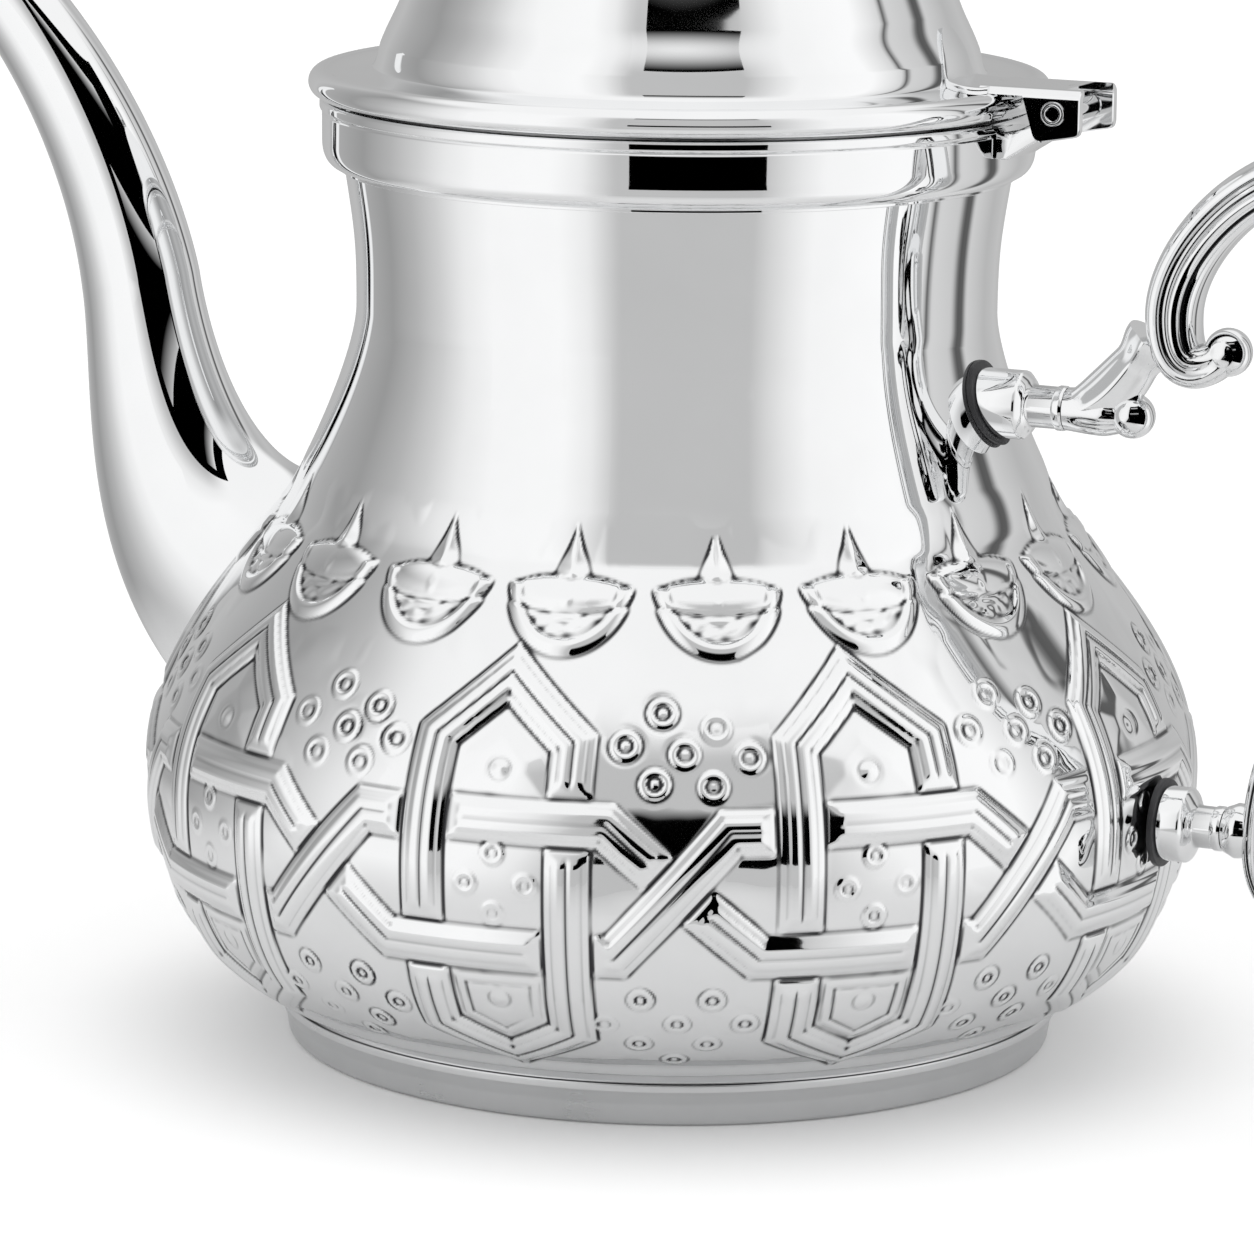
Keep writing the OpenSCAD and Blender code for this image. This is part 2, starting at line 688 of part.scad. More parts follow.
// Across the pot: a channel with bent shoulders, open below.
function channel_section() = let (h = hinge_w / 2, low = leaf_top - ear_h - 1) concat(
    [[-h + ear_t, low], [-h, low]],
    [for (a = [180:-15:90]) [-h + bend_r + bend_r * cos(a), leaf_top - bend_r + bend_r * sin(a)]],
    [for (a = [90:-15:0]) [h - bend_r + bend_r * cos(a), leaf_top - bend_r + bend_r * sin(a)]],
    [[h, low], [h - ear_t, low], [h - ear_t, plate_z], [-h + ear_t, plate_z]]
);
// Along the pot: the strip, and the ear with its slanted front and lower edges.
function channel_side() = let (
    front = pin_x - ear_l * 0.54,
    toe = pin_x - ear_l * 0.3,
    low = leaf_top - ear_h
) [
    [plate_x, plate_z], [front, plate_z], [toe - 0.3, low + 1], [toe + 0.6, low],
    [ear_rear - 0.7, low + 1], [ear_rear, low + 1.7], [ear_rear, leaf_top - 0.9],
    [ear_rear - 0.6, leaf_top], [plate_x, leaf_top]
];
function leaf_band(t) = let (n = 2 * BELL_STEPS) concat(
    [for (i = [0:n]) BELL_PTS[i] + EPS * [BELL_DIRS[i][1], -BELL_DIRS[i][0]]],
    [for (i = [n:-1:0]) BELL_PTS[i] + t * [BELL_DIRS[i][1], -BELL_DIRS[i][0]]]
);
function lid_keepout() = concat(
    [for (a = [90:-15:-90]) [roll_x + (lid_roll_r + EPS) * cos(a), roll_z + (lid_roll_r + EPS) * sin(a)]],
    [[30, lid_z - EPS], [30, flange_z - 2], [roll_x, flange_z + EPS]]
);
module hinge_pin() {
    head = 0.3;
    tip = hinge_w / 2 + head;
    color(SATIN)
    rotate([90, 0, 0]) translate([pin_x, pin_z, 0]) difference() {
        union() {
            translate([0, 0, -tip]) cylinder(r = pin_r, h = 2 * tip);
            for (s = [-tip, hinge_w / 2 + EPS]) translate([0, 0, s])
                cylinder(r = pin_head_r, h = head - EPS);
        }
        for (s = [-1, 1]) translate([0, 0, s * tip - 0.9]) cylinder(r = pin_r * 0.75, h = 1.8);
    }
}

// ---- finial ----
disc_z = crown_z + 2.6;
knob_z = disc_z + disc_t;
module finial_seat() {
    color(SILVER)
    translate([0, 0, crown_z]) rotate_extrude() polygon([
        [stud_r + stud_play, EPS], [crown_r - 0.4, EPS], [crown_r + 0.3, 0.5], [seat_r - 0.3, 0.9],
        [seat_r, 1.3], [seat_r - 0.5, 1.9], [disc_r - 0.6, 2.6], [stud_r + stud_play, 2.6]
    ]);
}
module finial_disc() {
    color(BLACK)
    translate([0, 0, disc_z]) rotate_extrude() polygon([
        [stud_r + stud_play, EPS], [disc_r - 0.3, EPS], [disc_r, 0.3], [disc_r, disc_t - 0.3],
        [disc_r - 0.3, disc_t], [stud_r + stud_play, disc_t]
    ]);
}
KNOB_CURVES = [
    [[5.4, 0], [5.2, 1.6], [2.9, 2.2], [3.1, 4]],
    [[3.1, 4], [3.3, 5.4], [knob_r, 5.6], [knob_r, 10.5]],
    [[knob_r, 10.5], [knob_r, 15.5], [2.2, 16.5], [1.9, 20]],
    [[1.9, 20], [1.8, 21], [2.8, knob_h - 3], [0, knob_h]]
];
module finial_knob() {
    color(SILVER)
    translate([0, 0, knob_z + EPS]) difference() {
        rotate_extrude() polygon(concat([[0, 0]], chain(KNOB_CURVES, 8)));
        translate([0, 0, -1]) cylinder(r = stud_r + stud_play, h = 11);
    }
}
fin_washer_z = crown_z - wall - WASHER_T - EPS;
fin_nut_z = fin_washer_z - NUT_H - EPS;
module finial_stud() {
    color(SATIN) translate([0, 0, fin_nut_z - 1]) cylinder(r = stud_r, h = knob_z + 9 - fin_nut_z + 1);
}
module finial_washer() {
    color(SATIN) translate([0, 0, fin_washer_z]) difference() {
        cylinder(r = WASHER_R, h = WASHER_T);
        translate([0, 0, -1]) cylinder(r = stud_r + stud_play, h = 4);
    }
}
module finial_nut() {
    color(SATIN) translate([0, 0, fin_nut_z]) hex_nut();
}

body_shell();
neck_shell();
base_disc();
foot_ring();
rim_collar();
spout();
upper_insulator();
upper_ferrule();
lower_insulator();
lower_ferrule();
handle_upper_arm();
handle_grip();
handle_lower_arm();
upper_stud();
lower_stud();
handle_nuts();
handle_washers();
hinge_bracket();
lid_dome();
lid_skirt();
hinge_leaf();
hinge_pin();
finial_seat();
finial_disc();
finial_knob();
finial_stud();
finial_washer();
finial_nut();
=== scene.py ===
"""Looks of a Moroccan teapot: mirror-polished sheet with strapwork pressed round the belly.

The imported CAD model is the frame. Lengths are in millimetres in this script and become metres in the meshes.
The pot stands on Z = 0 with its axis on Z, the spout on -X and the handle on +X.
"""
import math

import bmesh
import bpy
import numpy as np
from mathutils import Matrix, Vector


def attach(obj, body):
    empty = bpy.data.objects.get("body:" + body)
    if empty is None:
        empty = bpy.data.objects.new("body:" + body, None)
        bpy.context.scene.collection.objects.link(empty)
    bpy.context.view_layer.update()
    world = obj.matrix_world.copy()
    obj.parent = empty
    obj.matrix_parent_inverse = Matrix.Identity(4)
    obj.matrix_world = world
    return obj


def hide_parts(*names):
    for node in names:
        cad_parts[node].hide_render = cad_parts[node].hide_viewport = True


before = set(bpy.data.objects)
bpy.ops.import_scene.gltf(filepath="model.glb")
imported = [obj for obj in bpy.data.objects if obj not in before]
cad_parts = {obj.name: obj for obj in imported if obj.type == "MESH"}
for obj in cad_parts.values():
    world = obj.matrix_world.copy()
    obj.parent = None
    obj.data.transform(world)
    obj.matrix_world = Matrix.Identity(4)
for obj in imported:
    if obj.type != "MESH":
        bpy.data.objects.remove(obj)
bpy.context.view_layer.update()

MM = 0.001
TAU = 2 * math.pi

# ---------------------------------------------------------------- driving sizes, as in the CAD source
SEAM_R, BELLY_R, SHOULDER_R, WAIST_R, NECK_R = 53.7, 71.8, 52.9, 43.2, 44.8
FOOT_H, BELLY_RISE, SHOULDER_RISE, WAIST_RISE, NECK_RISE = 6.1, 31.2, 36.7, 26.1, 18.3
SHOULDER_LEAN = math.radians(37.4)
NECK_LEAN = math.radians(9)
WALL = 0.9
FOOT_R, FOOT_W = 52.2, 3.6
COLLAR_H, COLLAR_W, LIP_T = 9.6, 3.4, 0.9
LID_OVER, LID_ROLL_R, LID_GAP = 1.5, 1.85, 0.3
ROLL_MEET = math.radians(104)  # the turn round the roll at which the flange meets it
BELL_R, FLANK_R, FLANK_RISE, CROWN_RISE, CROWN_R = 41.0, 37.5, 9.0, 35.0, 6.5
SKIRT_H, SKIRT_GAP = 11.8, 0.75
SEAT_R, SEAT_H, DISC_R, DISC_T, KNOB_R, KNOB_H = 9.0, 2.6, 7.0, 2.0, 8.2, 25.0
PIN_OUT, PIN_RISE, PIN_R, PIN_HEAD_R, PIN_PLAY = 6.7, 1.9, 1.1, 1.6, 0.05
HINGE_W, EAR_T, EAR_L, EAR_H, EAR_GAP, BARREL_WALL = 13.6, 1.4, 8.0, 7.1, 0.35, 0.7
LEAF_T, LEAF_REACH, BEND_R = 1.0, 11.3, 1.5
UPPER_Z, LOWER_Z = 90.4, 36.3
INSUL_T, INSUL_OVER = 0.8, 0.9
UPPER_FER_R, UPPER_FER_L, LOWER_FER_R, LOWER_FER_L = 4.6, 5.6, 5.0, 3.9
STEM_R, UPPER_STEM_L, LOWER_STEM_L, FER_CHAM, STUD_R = 3.0, 5.2, 4.2, 1.0, 2.0
BAR_T, BAR_W, VOLUTE_R, ARM_REACH, GRIP_REACH, GRIP_RISE, BUD_R = 7.0, 8.4, 3.2, 14.4, 38.0, 20.5, 3.0
SPOUT_MID_X, SPOUT_MID_Z, SPOUT_TIP_X, SPOUT_TIP_Z, SPOUT_ROOT_Z = 83.2, 97.5, 117.0, 148.0, 52.5
SPOUT_MID_R, SPOUT_TIP_R, SPOUT_FLARE, SPOUT_OVAL_ROOT, SPOUT_OVAL_TIP = 8.7, 5.2, 14.0, 0.62, 0.92
HOLE_R, HOLE_PITCH, STRAINER_Z = 1.7, 6.0, 62.5

BELLY_Z = FOOT_H + BELLY_RISE
SHOULDER_Z = BELLY_Z + SHOULDER_RISE
WAIST_Z = SHOULDER_Z + WAIST_RISE
NECK_Z = WAIST_Z + NECK_RISE
COLLAR_TOP = NECK_Z + COLLAR_H
COLLAR_R = NECK_R + COLLAR_W
MOUTH_R = NECK_R - WALL
LID_Z = COLLAR_TOP + LID_GAP
LID_R = COLLAR_R + LID_OVER
FLANGE_Z = LID_Z + 2 * LID_ROLL_R
FLANK_Z = FLANGE_Z + FLANK_RISE
CROWN_Z = FLANK_Z + CROWN_RISE
ROLL_X, ROLL_Z = LID_R - LID_ROLL_R, LID_Z + LID_ROLL_R
PIN_X, PIN_Z = LID_R + PIN_OUT, COLLAR_TOP + PIN_RISE
BARREL_R = PIN_R + PIN_PLAY + BARREL_WALL
LEAF_Z = max(FLANGE_Z + 0.02, PIN_Z + BARREL_R + 0.25)
LEAF_TOP = LEAF_Z + LEAF_T
EAR_REAR = PIN_X + EAR_L * 0.46


# ---------------------------------------------------------------- curves
def bezier(p, n, last):
    """n points of a cubic from its start, and its end as well if last is true."""
    t = np.linspace(0, 1, n + 1)[: n + 1 if last else n, None]
    p = np.array(p, float)
    return (1 - t) ** 3 * p[0] + 3 * (1 - t) ** 2 * t * p[1] + 3 * (1 - t) * t**2 * p[2] + t**3 * p[3]


def chain(curves, n):
    """Cubics end to end, as one polyline with n points to each."""
    return np.concatenate([bezier(c, n, i == len(curves) - 1) for i, c in enumerate(curves)])


def directions(points):
    """Unit directions of a polyline at its points."""
    d = np.gradient(np.asarray(points, float), axis=0)
    return d / np.linalg.norm(d, axis=1)[:, None]


def rounded(corners, steps=5):
    """A closed outline of (x, y) or (x, y, radius) corners, with an arc in each corner that has a radius."""
    out = []
    n = len(corners)
    for i in range(n):
        here = np.array(corners[i][:2], float)
        radius = corners[i][2] if len(corners[i]) > 2 else 0
        if radius <= 0:
            out.append(here)
            continue
        back = np.array(corners[i - 1][:2], float) - here
        ahead = np.array(corners[(i + 1) % n][:2], float) - here
        lb, la = np.linalg.norm(back), np.linalg.norm(ahead)
        back, ahead = back / lb, ahead / la
        half = math.acos(max(-1, min(1, float(back @ ahead)))) / 2
        reach = min(radius / math.tan(half), lb * 0.49, la * 0.49)
        start, end = here + back * reach, here + ahead * reach
        for t in np.linspace(0, 1, steps + 1):
            out.append((1 - t) ** 2 * start + 2 * t * (1 - t) * here + t**2 * end)
    return np.array(out)


def band(inner, outer, low, high, low_round, high_round, steps):
    """Section of a plain ring, with its outer corners rounded."""
    return rounded([(inner, low), (outer, low, low_round), (outer, high, high_round), (inner, high)], steps)


# ---------------------------------------------------------------- meshes
PIECES = {}  # every made object by its name
LID_NAMES = ("lid_", "hinge_leaf", "hinge_pin", "finial_")  # how the names of the lid's pieces begin


def place(name, mesh, material, sharp=32, replaces=None):
    """Puts a mesh in the scene on its body. It replaces these CAD nodes, or the one of its own name."""
    mesh.validate()
    mesh.shade_smooth()
    if sharp:
        mesh.set_sharp_from_angle(angle=math.radians(sharp))
    mesh.materials.append(material)
    obj = bpy.data.objects.new(name, mesh)
    bpy.context.scene.collection.objects.link(obj)
    body = "lid" if name.startswith(LID_NAMES) else "pot"
    replaces = [name] if replaces is None else replaces
    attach(obj, body)
    if replaces:
        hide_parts(*replaces)
    PIECES[name] = obj


def build(name, verts, faces, material, sharp=32, replaces=None, welded=True):
    """A piece out of points and of faces that number them."""
    mesh = bpy.data.meshes.new(name)
    mesh.from_pydata((np.asarray(verts, float) * MM).tolist(), [], [list(map(int, f)) for f in faces])
    if welded:
        weld(mesh)
    place(name, mesh, material, sharp, replaces)


def weld(mesh):
    """Joins points that lie on the axis, drops the faces that closes up, and turns all faces outward."""
    bm = bmesh.new()
    bm.from_mesh(mesh)
    bmesh.ops.remove_doubles(bm, verts=bm.verts, dist=1e-7)
    bmesh.ops.recalc_face_normals(bm, faces=bm.faces)
    bm.to_mesh(mesh)
    bm.free()


def grid_faces(rows, cols, wrap_cols=True, wrap_rows=False):
    """Quads of a rows x cols grid of points, numbered row by row."""
    r = np.arange(rows if wrap_rows else rows - 1)
    c = np.arange(cols if wrap_cols else cols - 1)
    r, c = np.meshgrid(r, c, indexing="ij")
    r1, c1 = (r + 1) % rows, (c + 1) % cols
    return np.stack([r * cols + c, r * cols + c1, r1 * cols + c1, r1 * cols + c], -1).reshape(-1, 4)


def circle(sides):
    """Points round a circle of radius 1."""
    a = np.arange(sides) * TAU / sides
    return np.stack([np.cos(a), np.sin(a)], -1)


def lathe_points(outline, sides, to_x=False):
    """An outline of (radius, height) points turned about Z, or about X."""
    o = np.asarray(outline, float)
    c, s = circle(sides).T
    ring = np.stack([np.outer(o[:, 0], c), np.outer(o[:, 0], s), np.outer(o[:, 1], np.ones(sides))], -1)
    if to_x:
        ring = ring[..., [2, 1, 0]] * [1, -1, 1]
    return ring.reshape(-1, 3)


def lathe_across(outline, sides, centre, closed=False):
    """Points and faces of an outline turned about an axis along Y. closed joins its end to its start."""
    p = lathe_points(outline, sides)[:, [0, 2, 1]]
    return p + np.array(centre), grid_faces(len(outline), sides, wrap_rows=closed).tolist()


def lathe(name, outline, material, sides=192, closed=True, to_x=None, sharp=32):
    """A turned piece of (radius, height) points. If to_x is given, its axis lies along X at that height."""
    outline = [(max(r, 0.0), z) for r, z in outline]
    verts = lathe_points(outline, sides, to_x is not None) + [0, 0, to_x or 0]
    build(name, verts, grid_faces(len(outline), sides, wrap_rows=closed), material, sharp)


def solid(name, parts, material, sharp=32, replaces=None):
    """A piece out of closed (verts, faces) parts, with its faces turned outward."""
    verts, faces, n = [], [], 0
    for v, f in parts:
        verts.append(np.asarray(v, float).reshape(-1, 3))
        faces += [[i + n for i in face] for face in f]
        n += len(verts[-1])
    build(name, np.concatenate(verts), faces, material, sharp, replaces)


def capped(rings):
    """Points and faces of a stack of rings with both ends closed."""
    rows, cols = rings.shape[:2]
    faces = grid_faces(rows, cols).tolist()
    faces.append(list(range(cols)))
    faces.append(list(range(rows * cols - 1, (rows - 1) * cols - 1, -1)))
    return rings.reshape(-1, 3), faces


def slab(outline, lo, hi, edge=0.25, steps=3):
    """A plate of an (x, z) outline between y = lo and hi, with rounded rims."""
    o = np.asarray(outline, float)
    centre = o.mean(0)
    d = directions(np.vstack([o[-1:], o, o[:1]]))[1:-1]
    out = np.stack([d[:, 1], -d[:, 0]], -1)
    if np.sum((o - centre) * out) < 0:
        out = -out
    levels = []
    for t in np.linspace(0, math.pi / 2, steps + 1):
        levels.append((edge * (1 - math.sin(t)), lo + edge * (1 - math.cos(t))))
    levels += [(inset, hi + lo - y) for inset, y in reversed(levels)]
    rings = []
    for inset, y in levels:
        p = o - out * inset
        rings.append(np.stack([p[:, 0], np.full(len(p), y), p[:, 1]], -1))
    return capped(np.stack(rings))


def tube_points(path, half_in, half_across, section):
    """Rings along a path of (x, z) points in the XZ plane. section gives (in, across) per point of a ring."""
    path = np.asarray(path, float)
    d = directions(path)
    u = section[..., 0] * half_in[:, None]
    v = section[..., 1] * half_across[:, None]
    x = path[:, 0, None] + u * d[:, 1, None]
    z = path[:, 1, None] - u * d[:, 0, None]
    return np.stack([x, v + 0 * x, z], -1)


def ball(centre, radius, squash=1.0, rings=24, sides=48):
    """Points and faces of a ball with its poles along Y, pressed in by squash that way."""
    a = np.linspace(0, math.pi, rings + 1)
    outline = np.stack([np.sin(a), -np.cos(a)], -1)
    p = lathe_points(outline, sides) * radius
    p = p[:, [0, 2, 1]] * [1, squash, 1]
    return p + centre, grid_faces(rings + 1, sides).tolist()


# ---------------------------------------------------------------- materials
HAIR_SHARE = 0.35  # how strongly hair scratches dull the polish


class Nodes:
    """Short calls for building the nodes of a material, or of the world."""

    def __init__(self, name, store=bpy.data.materials, output="OutputMaterial"):
        self.owner = store.new(name)
        self.owner.use_nodes = True
        self.tree = self.owner.node_tree
        self.tree.nodes.clear()
        self.out = self.add(output)
        self.place = self.add("TexCoord").outputs["Object"]

    def add(self, kind, feeds=None, **settings):
        """A new node. feeds holds a value or a socket for each input, by the input's name or number."""
        node = self.tree.nodes.new("ShaderNode" + kind)
        for key, value in settings.items():
            setattr(node, key, value)
        self.feed(node, feeds or {})
        return node

    def feed(self, node, feeds):
        """Sets or links inputs of a node."""
        for key, value in feeds.items():
            if isinstance(value, bpy.types.NodeSocket):
                self.tree.links.new(value, node.inputs[key])
            else:
                node.inputs[key].default_value = value

    def surface(self, shader):
        self.feed(self.out, {"Surface": shader})

    def noise(self, scale, detail=3, rough=0.5, stretch=(1, 1, 1)):
        turn = self.add("Mapping", {"Vector": self.place, "Scale": stretch})
        feeds = {"Vector": turn.outputs["Vector"], "Scale": scale, "Detail": detail, "Roughness": rough}
        return self.add("TexNoise", feeds).outputs["Fac"]

    def spread(self, value, low, high, from_low=0.3, from_high=0.7, **settings):
        """value brought from the second range to the first."""
        feeds = {"Value": value, "From Min": from_low, "From Max": from_high, "To Min": low, "To Max": high}
        return self.add("MapRange", feeds, **settings).outputs["Result"]

    def math(self, operation, a, b):
        return self.add("Math", {0: a, 1: b}, operation=operation).outputs[0]

    def ramp(self, value, stops, interpolation):
        """A grey read off (position, level) stops."""
        node = self.add("ValToRGB", {"Fac": value})
        node.color_ramp.interpolation = interpolation
        while len(node.color_ramp.elements) < len(stops):
            node.color_ramp.elements.new(0.5)
        for element, (at, level) in zip(node.color_ramp.elements, stops):
            element.position = at
            element.color = (level, level, level, 1)
        return node.outputs["Color"]

    def mix(self, kind, factor, a, b):
        """The blend of two colours (kind RGBA) or numbers (kind FLOAT)."""
        return self.add("Mix", {"Factor": factor, "A": a, "B": b}, data_type=kind).outputs["Result"]

    def blend(self, factor, a, b):
        """The blend of two shaders."""
        return self.add("MixShader", {0: factor, 1: a, 2: b}).outputs[0]

    def shader(self, colour, metallic, roughness):
        """The surface of the material."""
        feeds = {"Base Color": (*colour, 1), "Metallic": metallic, "Roughness": roughness}
        bsdf = self.add("BsdfPrincipled", feeds)
        self.surface(bsdf.outputs[0])
        return bsdf

    def tint(self, bsdf, value, dark, light):
        self.feed(bsdf, {"Base Color": self.mix("RGBA", value, (*dark, 1), (*light, 1))})

    def bump(self, bsdf, value, depth_mm, strength=1.0):
        node = self.add("Bump", {"Strength": strength, "Distance": depth_mm * MM, "Height": value})
        self.feed(bsdf, {"Normal": node.outputs[0]})


def chrome(name, colour, rough_low, rough_high, wave_mm, corner=None):
    """Polished metal: faint smears in the gloss, hair scratches and a slight unevenness of the sheet.

    The function given as corner is called with the nodes for the share of painted shade in corners and
    creases, where the colour is darkened and the gloss dulled.
    """
    n = Nodes(name)
    smears = n.spread(n.noise(38, 4, 0.6), rough_low, rough_high)
    hairs = n.spread(n.noise(420, 2, 0.4, (1, 1, 9)), 0, 0.02, 0.62, 0.8)
    bsdf = n.shader(colour, 1, n.math("ADD", smears, n.math("MULTIPLY", hairs, HAIR_SHARE)))
    n.tint(bsdf, n.spread(n.noise(70, 3), 0, 1), tuple(c * 0.965 for c in colour), colour)
    n.bump(bsdf, n.noise(55, 2), wave_mm)
    # Painted shade: the dark colour and duller gloss are mixed in by that share.
    if corner:
        share = corner(n)
        for name, kind, dark in (("Base Color", "RGBA", CORNER_SHADE_COLOUR), ("Roughness", "FLOAT", CORNER_ROUGH)):
            n.feed(bsdf, {name: n.mix(kind, share, bsdf.inputs[name].links[0].from_socket, dark)})
    return n.owner


def shade_in_pressed_lines(n):
    """Painted shade along the pressed lines of the sheet, read from an attribute that the belly carries."""
    return n.add("Attribute", attribute_name="chased").outputs["Fac"]


def shade_in_hollows(shallow, deep):
    """Elsewhere painted shade goes into the corners by their pointiness, from none at that of a shallow hollow
    to full at that of a deep one.
    """
    return lambda n: n.spread(n.add("NewGeometry").outputs["Pointiness"], 0, 1, shallow, deep)


def satin(name, colour, rough, ring_scale=2600.0):
    """Turned metal: fine rings round the axis and cloudy gloss."""
    n = Nodes(name)
    rings = n.noise(ring_scale, 2, 0.5, (0.02, 0.02, 1))
    cloud = n.noise(60, 4, 0.6)
    gloss = n.math("ADD", n.spread(cloud, rough - 0.04, rough + 0.05), n.math("MULTIPLY", rings, 0.05))
    bsdf = n.shader(colour, 1, gloss)
    n.tint(bsdf, n.spread(cloud, 0, 1), tuple(c * 0.93 for c in colour), colour)
    n.bump(bsdf, rings, 0.004, 0.5)
    return n.owner


def black_plastic(name):
    """Moulded plastic with a fine grain."""
    n = Nodes(name)
    grain = n.noise(900, 3, 0.6)
    bsdf = n.shader((0.028, 0.028, 0.031), 0, n.spread(grain, 0.36, 0.52))
    n.tint(bsdf, n.spread(n.noise(160, 3), 0, 1), (0.018, 0.018, 0.02), (0.036, 0.036, 0.04))
    n.bump(bsdf, grain, 0.012, 0.6)
    return n.owner


# Painted shade for the corners and creases of polished metal: its dark colour and its gloss.
CORNER_SHADE_COLOUR, CORNER_ROUGH = (0.045, 0.045, 0.048, 1), 0.3
SILVER = (0.93, 0.935, 0.94)
BODY_METAL = chrome("polished_body", SILVER, 0.012, 0.045, 0.004)
CHASED_METAL = chrome("polished_belly", SILVER, 0.02, 0.06, 0.006, shade_in_pressed_lines)
# The last argument puts painted shade into the hollows of these pieces.
SHINE = chrome("polished_metal", SILVER, 0.01, 0.035, 0.002, shade_in_hollows(0.47, 0.4))
CAST = chrome("cast_metal", (0.915, 0.92, 0.925), 0.02, 0.06, 0.006, shade_in_hollows(0.49, 0.455))
HINGE = chrome("hinge_metal", (0.9, 0.905, 0.91), 0.03, 0.08, 0.003)
SATIN = satin("satin_metal", (0.78, 0.785, 0.79), 0.27)
INNER = satin("satin_inside", (0.76, 0.765, 0.77), 0.3, 1200.0)
STEEL = satin("steel_fixings", (0.68, 0.69, 0.7), 0.24)
BLACK = black_plastic("black_insulator")

# ---------------------------------------------------------------- the body's outline
LEAN = np.array([-math.sin(SHOULDER_LEAN), math.cos(SHOULDER_LEAN)])
NECK_DIR = np.array([math.sin(NECK_LEAN), math.cos(NECK_LEAN)])
SHOULDER = np.array([SHOULDER_R, SHOULDER_Z])
NECK_END = np.array([NECK_R, NECK_Z])
BELLY, WAIST = (BELLY_R, BELLY_Z), (WAIST_R, WAIST_Z)
BODY_CURVES = [
    [(SEAM_R, FOOT_H), (SEAM_R + 3.3, FOOT_H + 3.2), (BELLY_R, BELLY_Z - BELLY_RISE * 0.82), BELLY],
    [BELLY, (BELLY_R, BELLY_Z + SHOULDER_RISE * 0.3), SHOULDER - LEAN * SHOULDER_RISE * 0.6, SHOULDER],
    [SHOULDER, SHOULDER + LEAN * 3, (WAIST_R, WAIST_Z - WAIST_RISE * 0.28), WAIST],
    [WAIST, (WAIST_R, WAIST_Z + NECK_RISE * 0.45), NECK_END - NECK_DIR * NECK_RISE * 0.45, NECK_END],
]
_fine = chain(BODY_CURVES, 400)
_arc = np.concatenate([[0], np.cumsum(np.linalg.norm(np.diff(_fine, axis=0), axis=1))])
_dirs = directions(_fine)
BODY_ARC = float(_arc[-1])


def body_at(s):
    """Radius, height and outward normal (radial, up) of the body's outer skin, s mm up it from the seam."""
    s = np.asarray(s, float)
    r, z = np.interp(s, _arc, _fine[:, 0]), np.interp(s, _arc, _fine[:, 1])
    dr, dz = np.interp(s, _arc, _dirs[:, 0]), np.interp(s, _arc, _dirs[:, 1])
    length = np.hypot(dr, dz)
    return r, z, dz / length, -dr / length


def body_radius(z):
    """Outer radius of the body at height z."""
    return np.interp(z, _fine[:, 1], _fine[:, 0])


# ---------------------------------------------------------------- the pressed strapwork
# Places on the belly are (x, s): degrees round the axis from a unit's centre, and mm up the skin from the
# seam. k is the mm to a degree there.
PERIOD = 360 / 9  # nine units go round the belly
PHASE = -43.5  # the first unit's centre, in degrees from +X
RELIEF = 0.8  # how deep the ground lies below the plain outline
CHASE_FROM, CHASE_FULL = 0.18, 0.95  # inward curvature, per mm, where the painted shade of a crease begins and is full
BELLY_COLS, BELLY_STEP = 1800, 0.28  # points round the belly, and mm between its rows
STRAP = 3.05  # half the strap's width
STEP_H, BEVEL_H, BEAD_H, GROOVE_H = 0.34, 0.2, 0.3, 0.12  # what each form of a strap adds or takes away
GAP = 0.25  # between a strap and the one that passes over it
BELT_LOW, BELT_HIGH = 3.0, 88.0  # the relief lies between these s


def hump(x, at, width):
    """A smooth bump that is 1 high where x is at."""
    return np.exp(-(((x - at) / width) ** 2))


def wrapped(x, period):
    """x brought within half a period of 0."""
    return (x + period / 2) % period - period / 2


def smooth(x, lo, hi):
    """0 up to lo, 1 from hi on, with a soft step between."""
    t = np.clip((x - lo) / (hi - lo), 0, 1)
    return t * t * (3 - 2 * t)


def strap_height(d):
    """Height of a strap d mm off its centre-line: a step, a flat bevel, and two beads with a thin groove."""
    a = np.abs(d)
    step = STEP_H * (1 - smooth(a, STRAP - 0.42, STRAP))
    bevel = BEVEL_H * (1 - smooth(a, 1.55, STRAP - 0.35))
    bead = BEAD_H * np.sqrt(np.clip(1 - ((a - 0.82) / 0.86) ** 2, 0, 1))
    groove = -GROOVE_H * (1 - smooth(a, 0.0, 0.3))
    return step + bevel + np.where(a < 1.68, bead, 0) + groove


def hip(e):
    """The most that a strap may stand, e mm in from the edge of a strap that passes over it."""
    slope = STEP_H * smooth(e, 0, 0.42) + BEVEL_H * smooth(e, 0.35, 1.5) + 0.34 * smooth(e, 1.2, 2.3)
    return np.where(e <= 0, 0, slope)


def line_offset(p, a, b):
    """Signed distance of points p from the line a-b, the way along it, and its direction, all in mm."""
    ux, us = b[0] - a[0], b[1] - a[1]
    length = np.hypot(ux, us)
    ux, us = ux / length, us / length
    dx, ds = p[0] - a[0], p[1] - a[1]
    return ux * ds - us * dx, ux * dx + us * ds, (ux, us)


def strand(x, s, k, corners):
    """Distance from a mitred strand of (x, s) corners, or a large number beyond its ends."""
    d = np.full(x.shape, 99.0)
    pts = [(cx * k, cs) for cx, cs in corners]
    p = (x * k, s)
    units = [line_offset(p, a, b) for a, b in zip(pts, pts[1:])]
    for i, (off, _, u) in enumerate(units):
        ok = np.ones(x.shape, bool)
        if i:
            v = units[i - 1][2]
            ok &= (p[0] - pts[i][0]) * (u[0] + v[0]) + (p[1] - pts[i][1]) * (u[1] + v[1]) >= 0
        if i < len(units) - 1:
            v = units[i + 1][2]
            ok &= (p[0] - pts[i + 1][0]) * (u[0] + v[0]) + (p[1] - pts[i + 1][1]) * (u[1] + v[1]) < 0
        d = np.where(ok & (np.abs(off) < np.abs(d)), off, d)
    return d


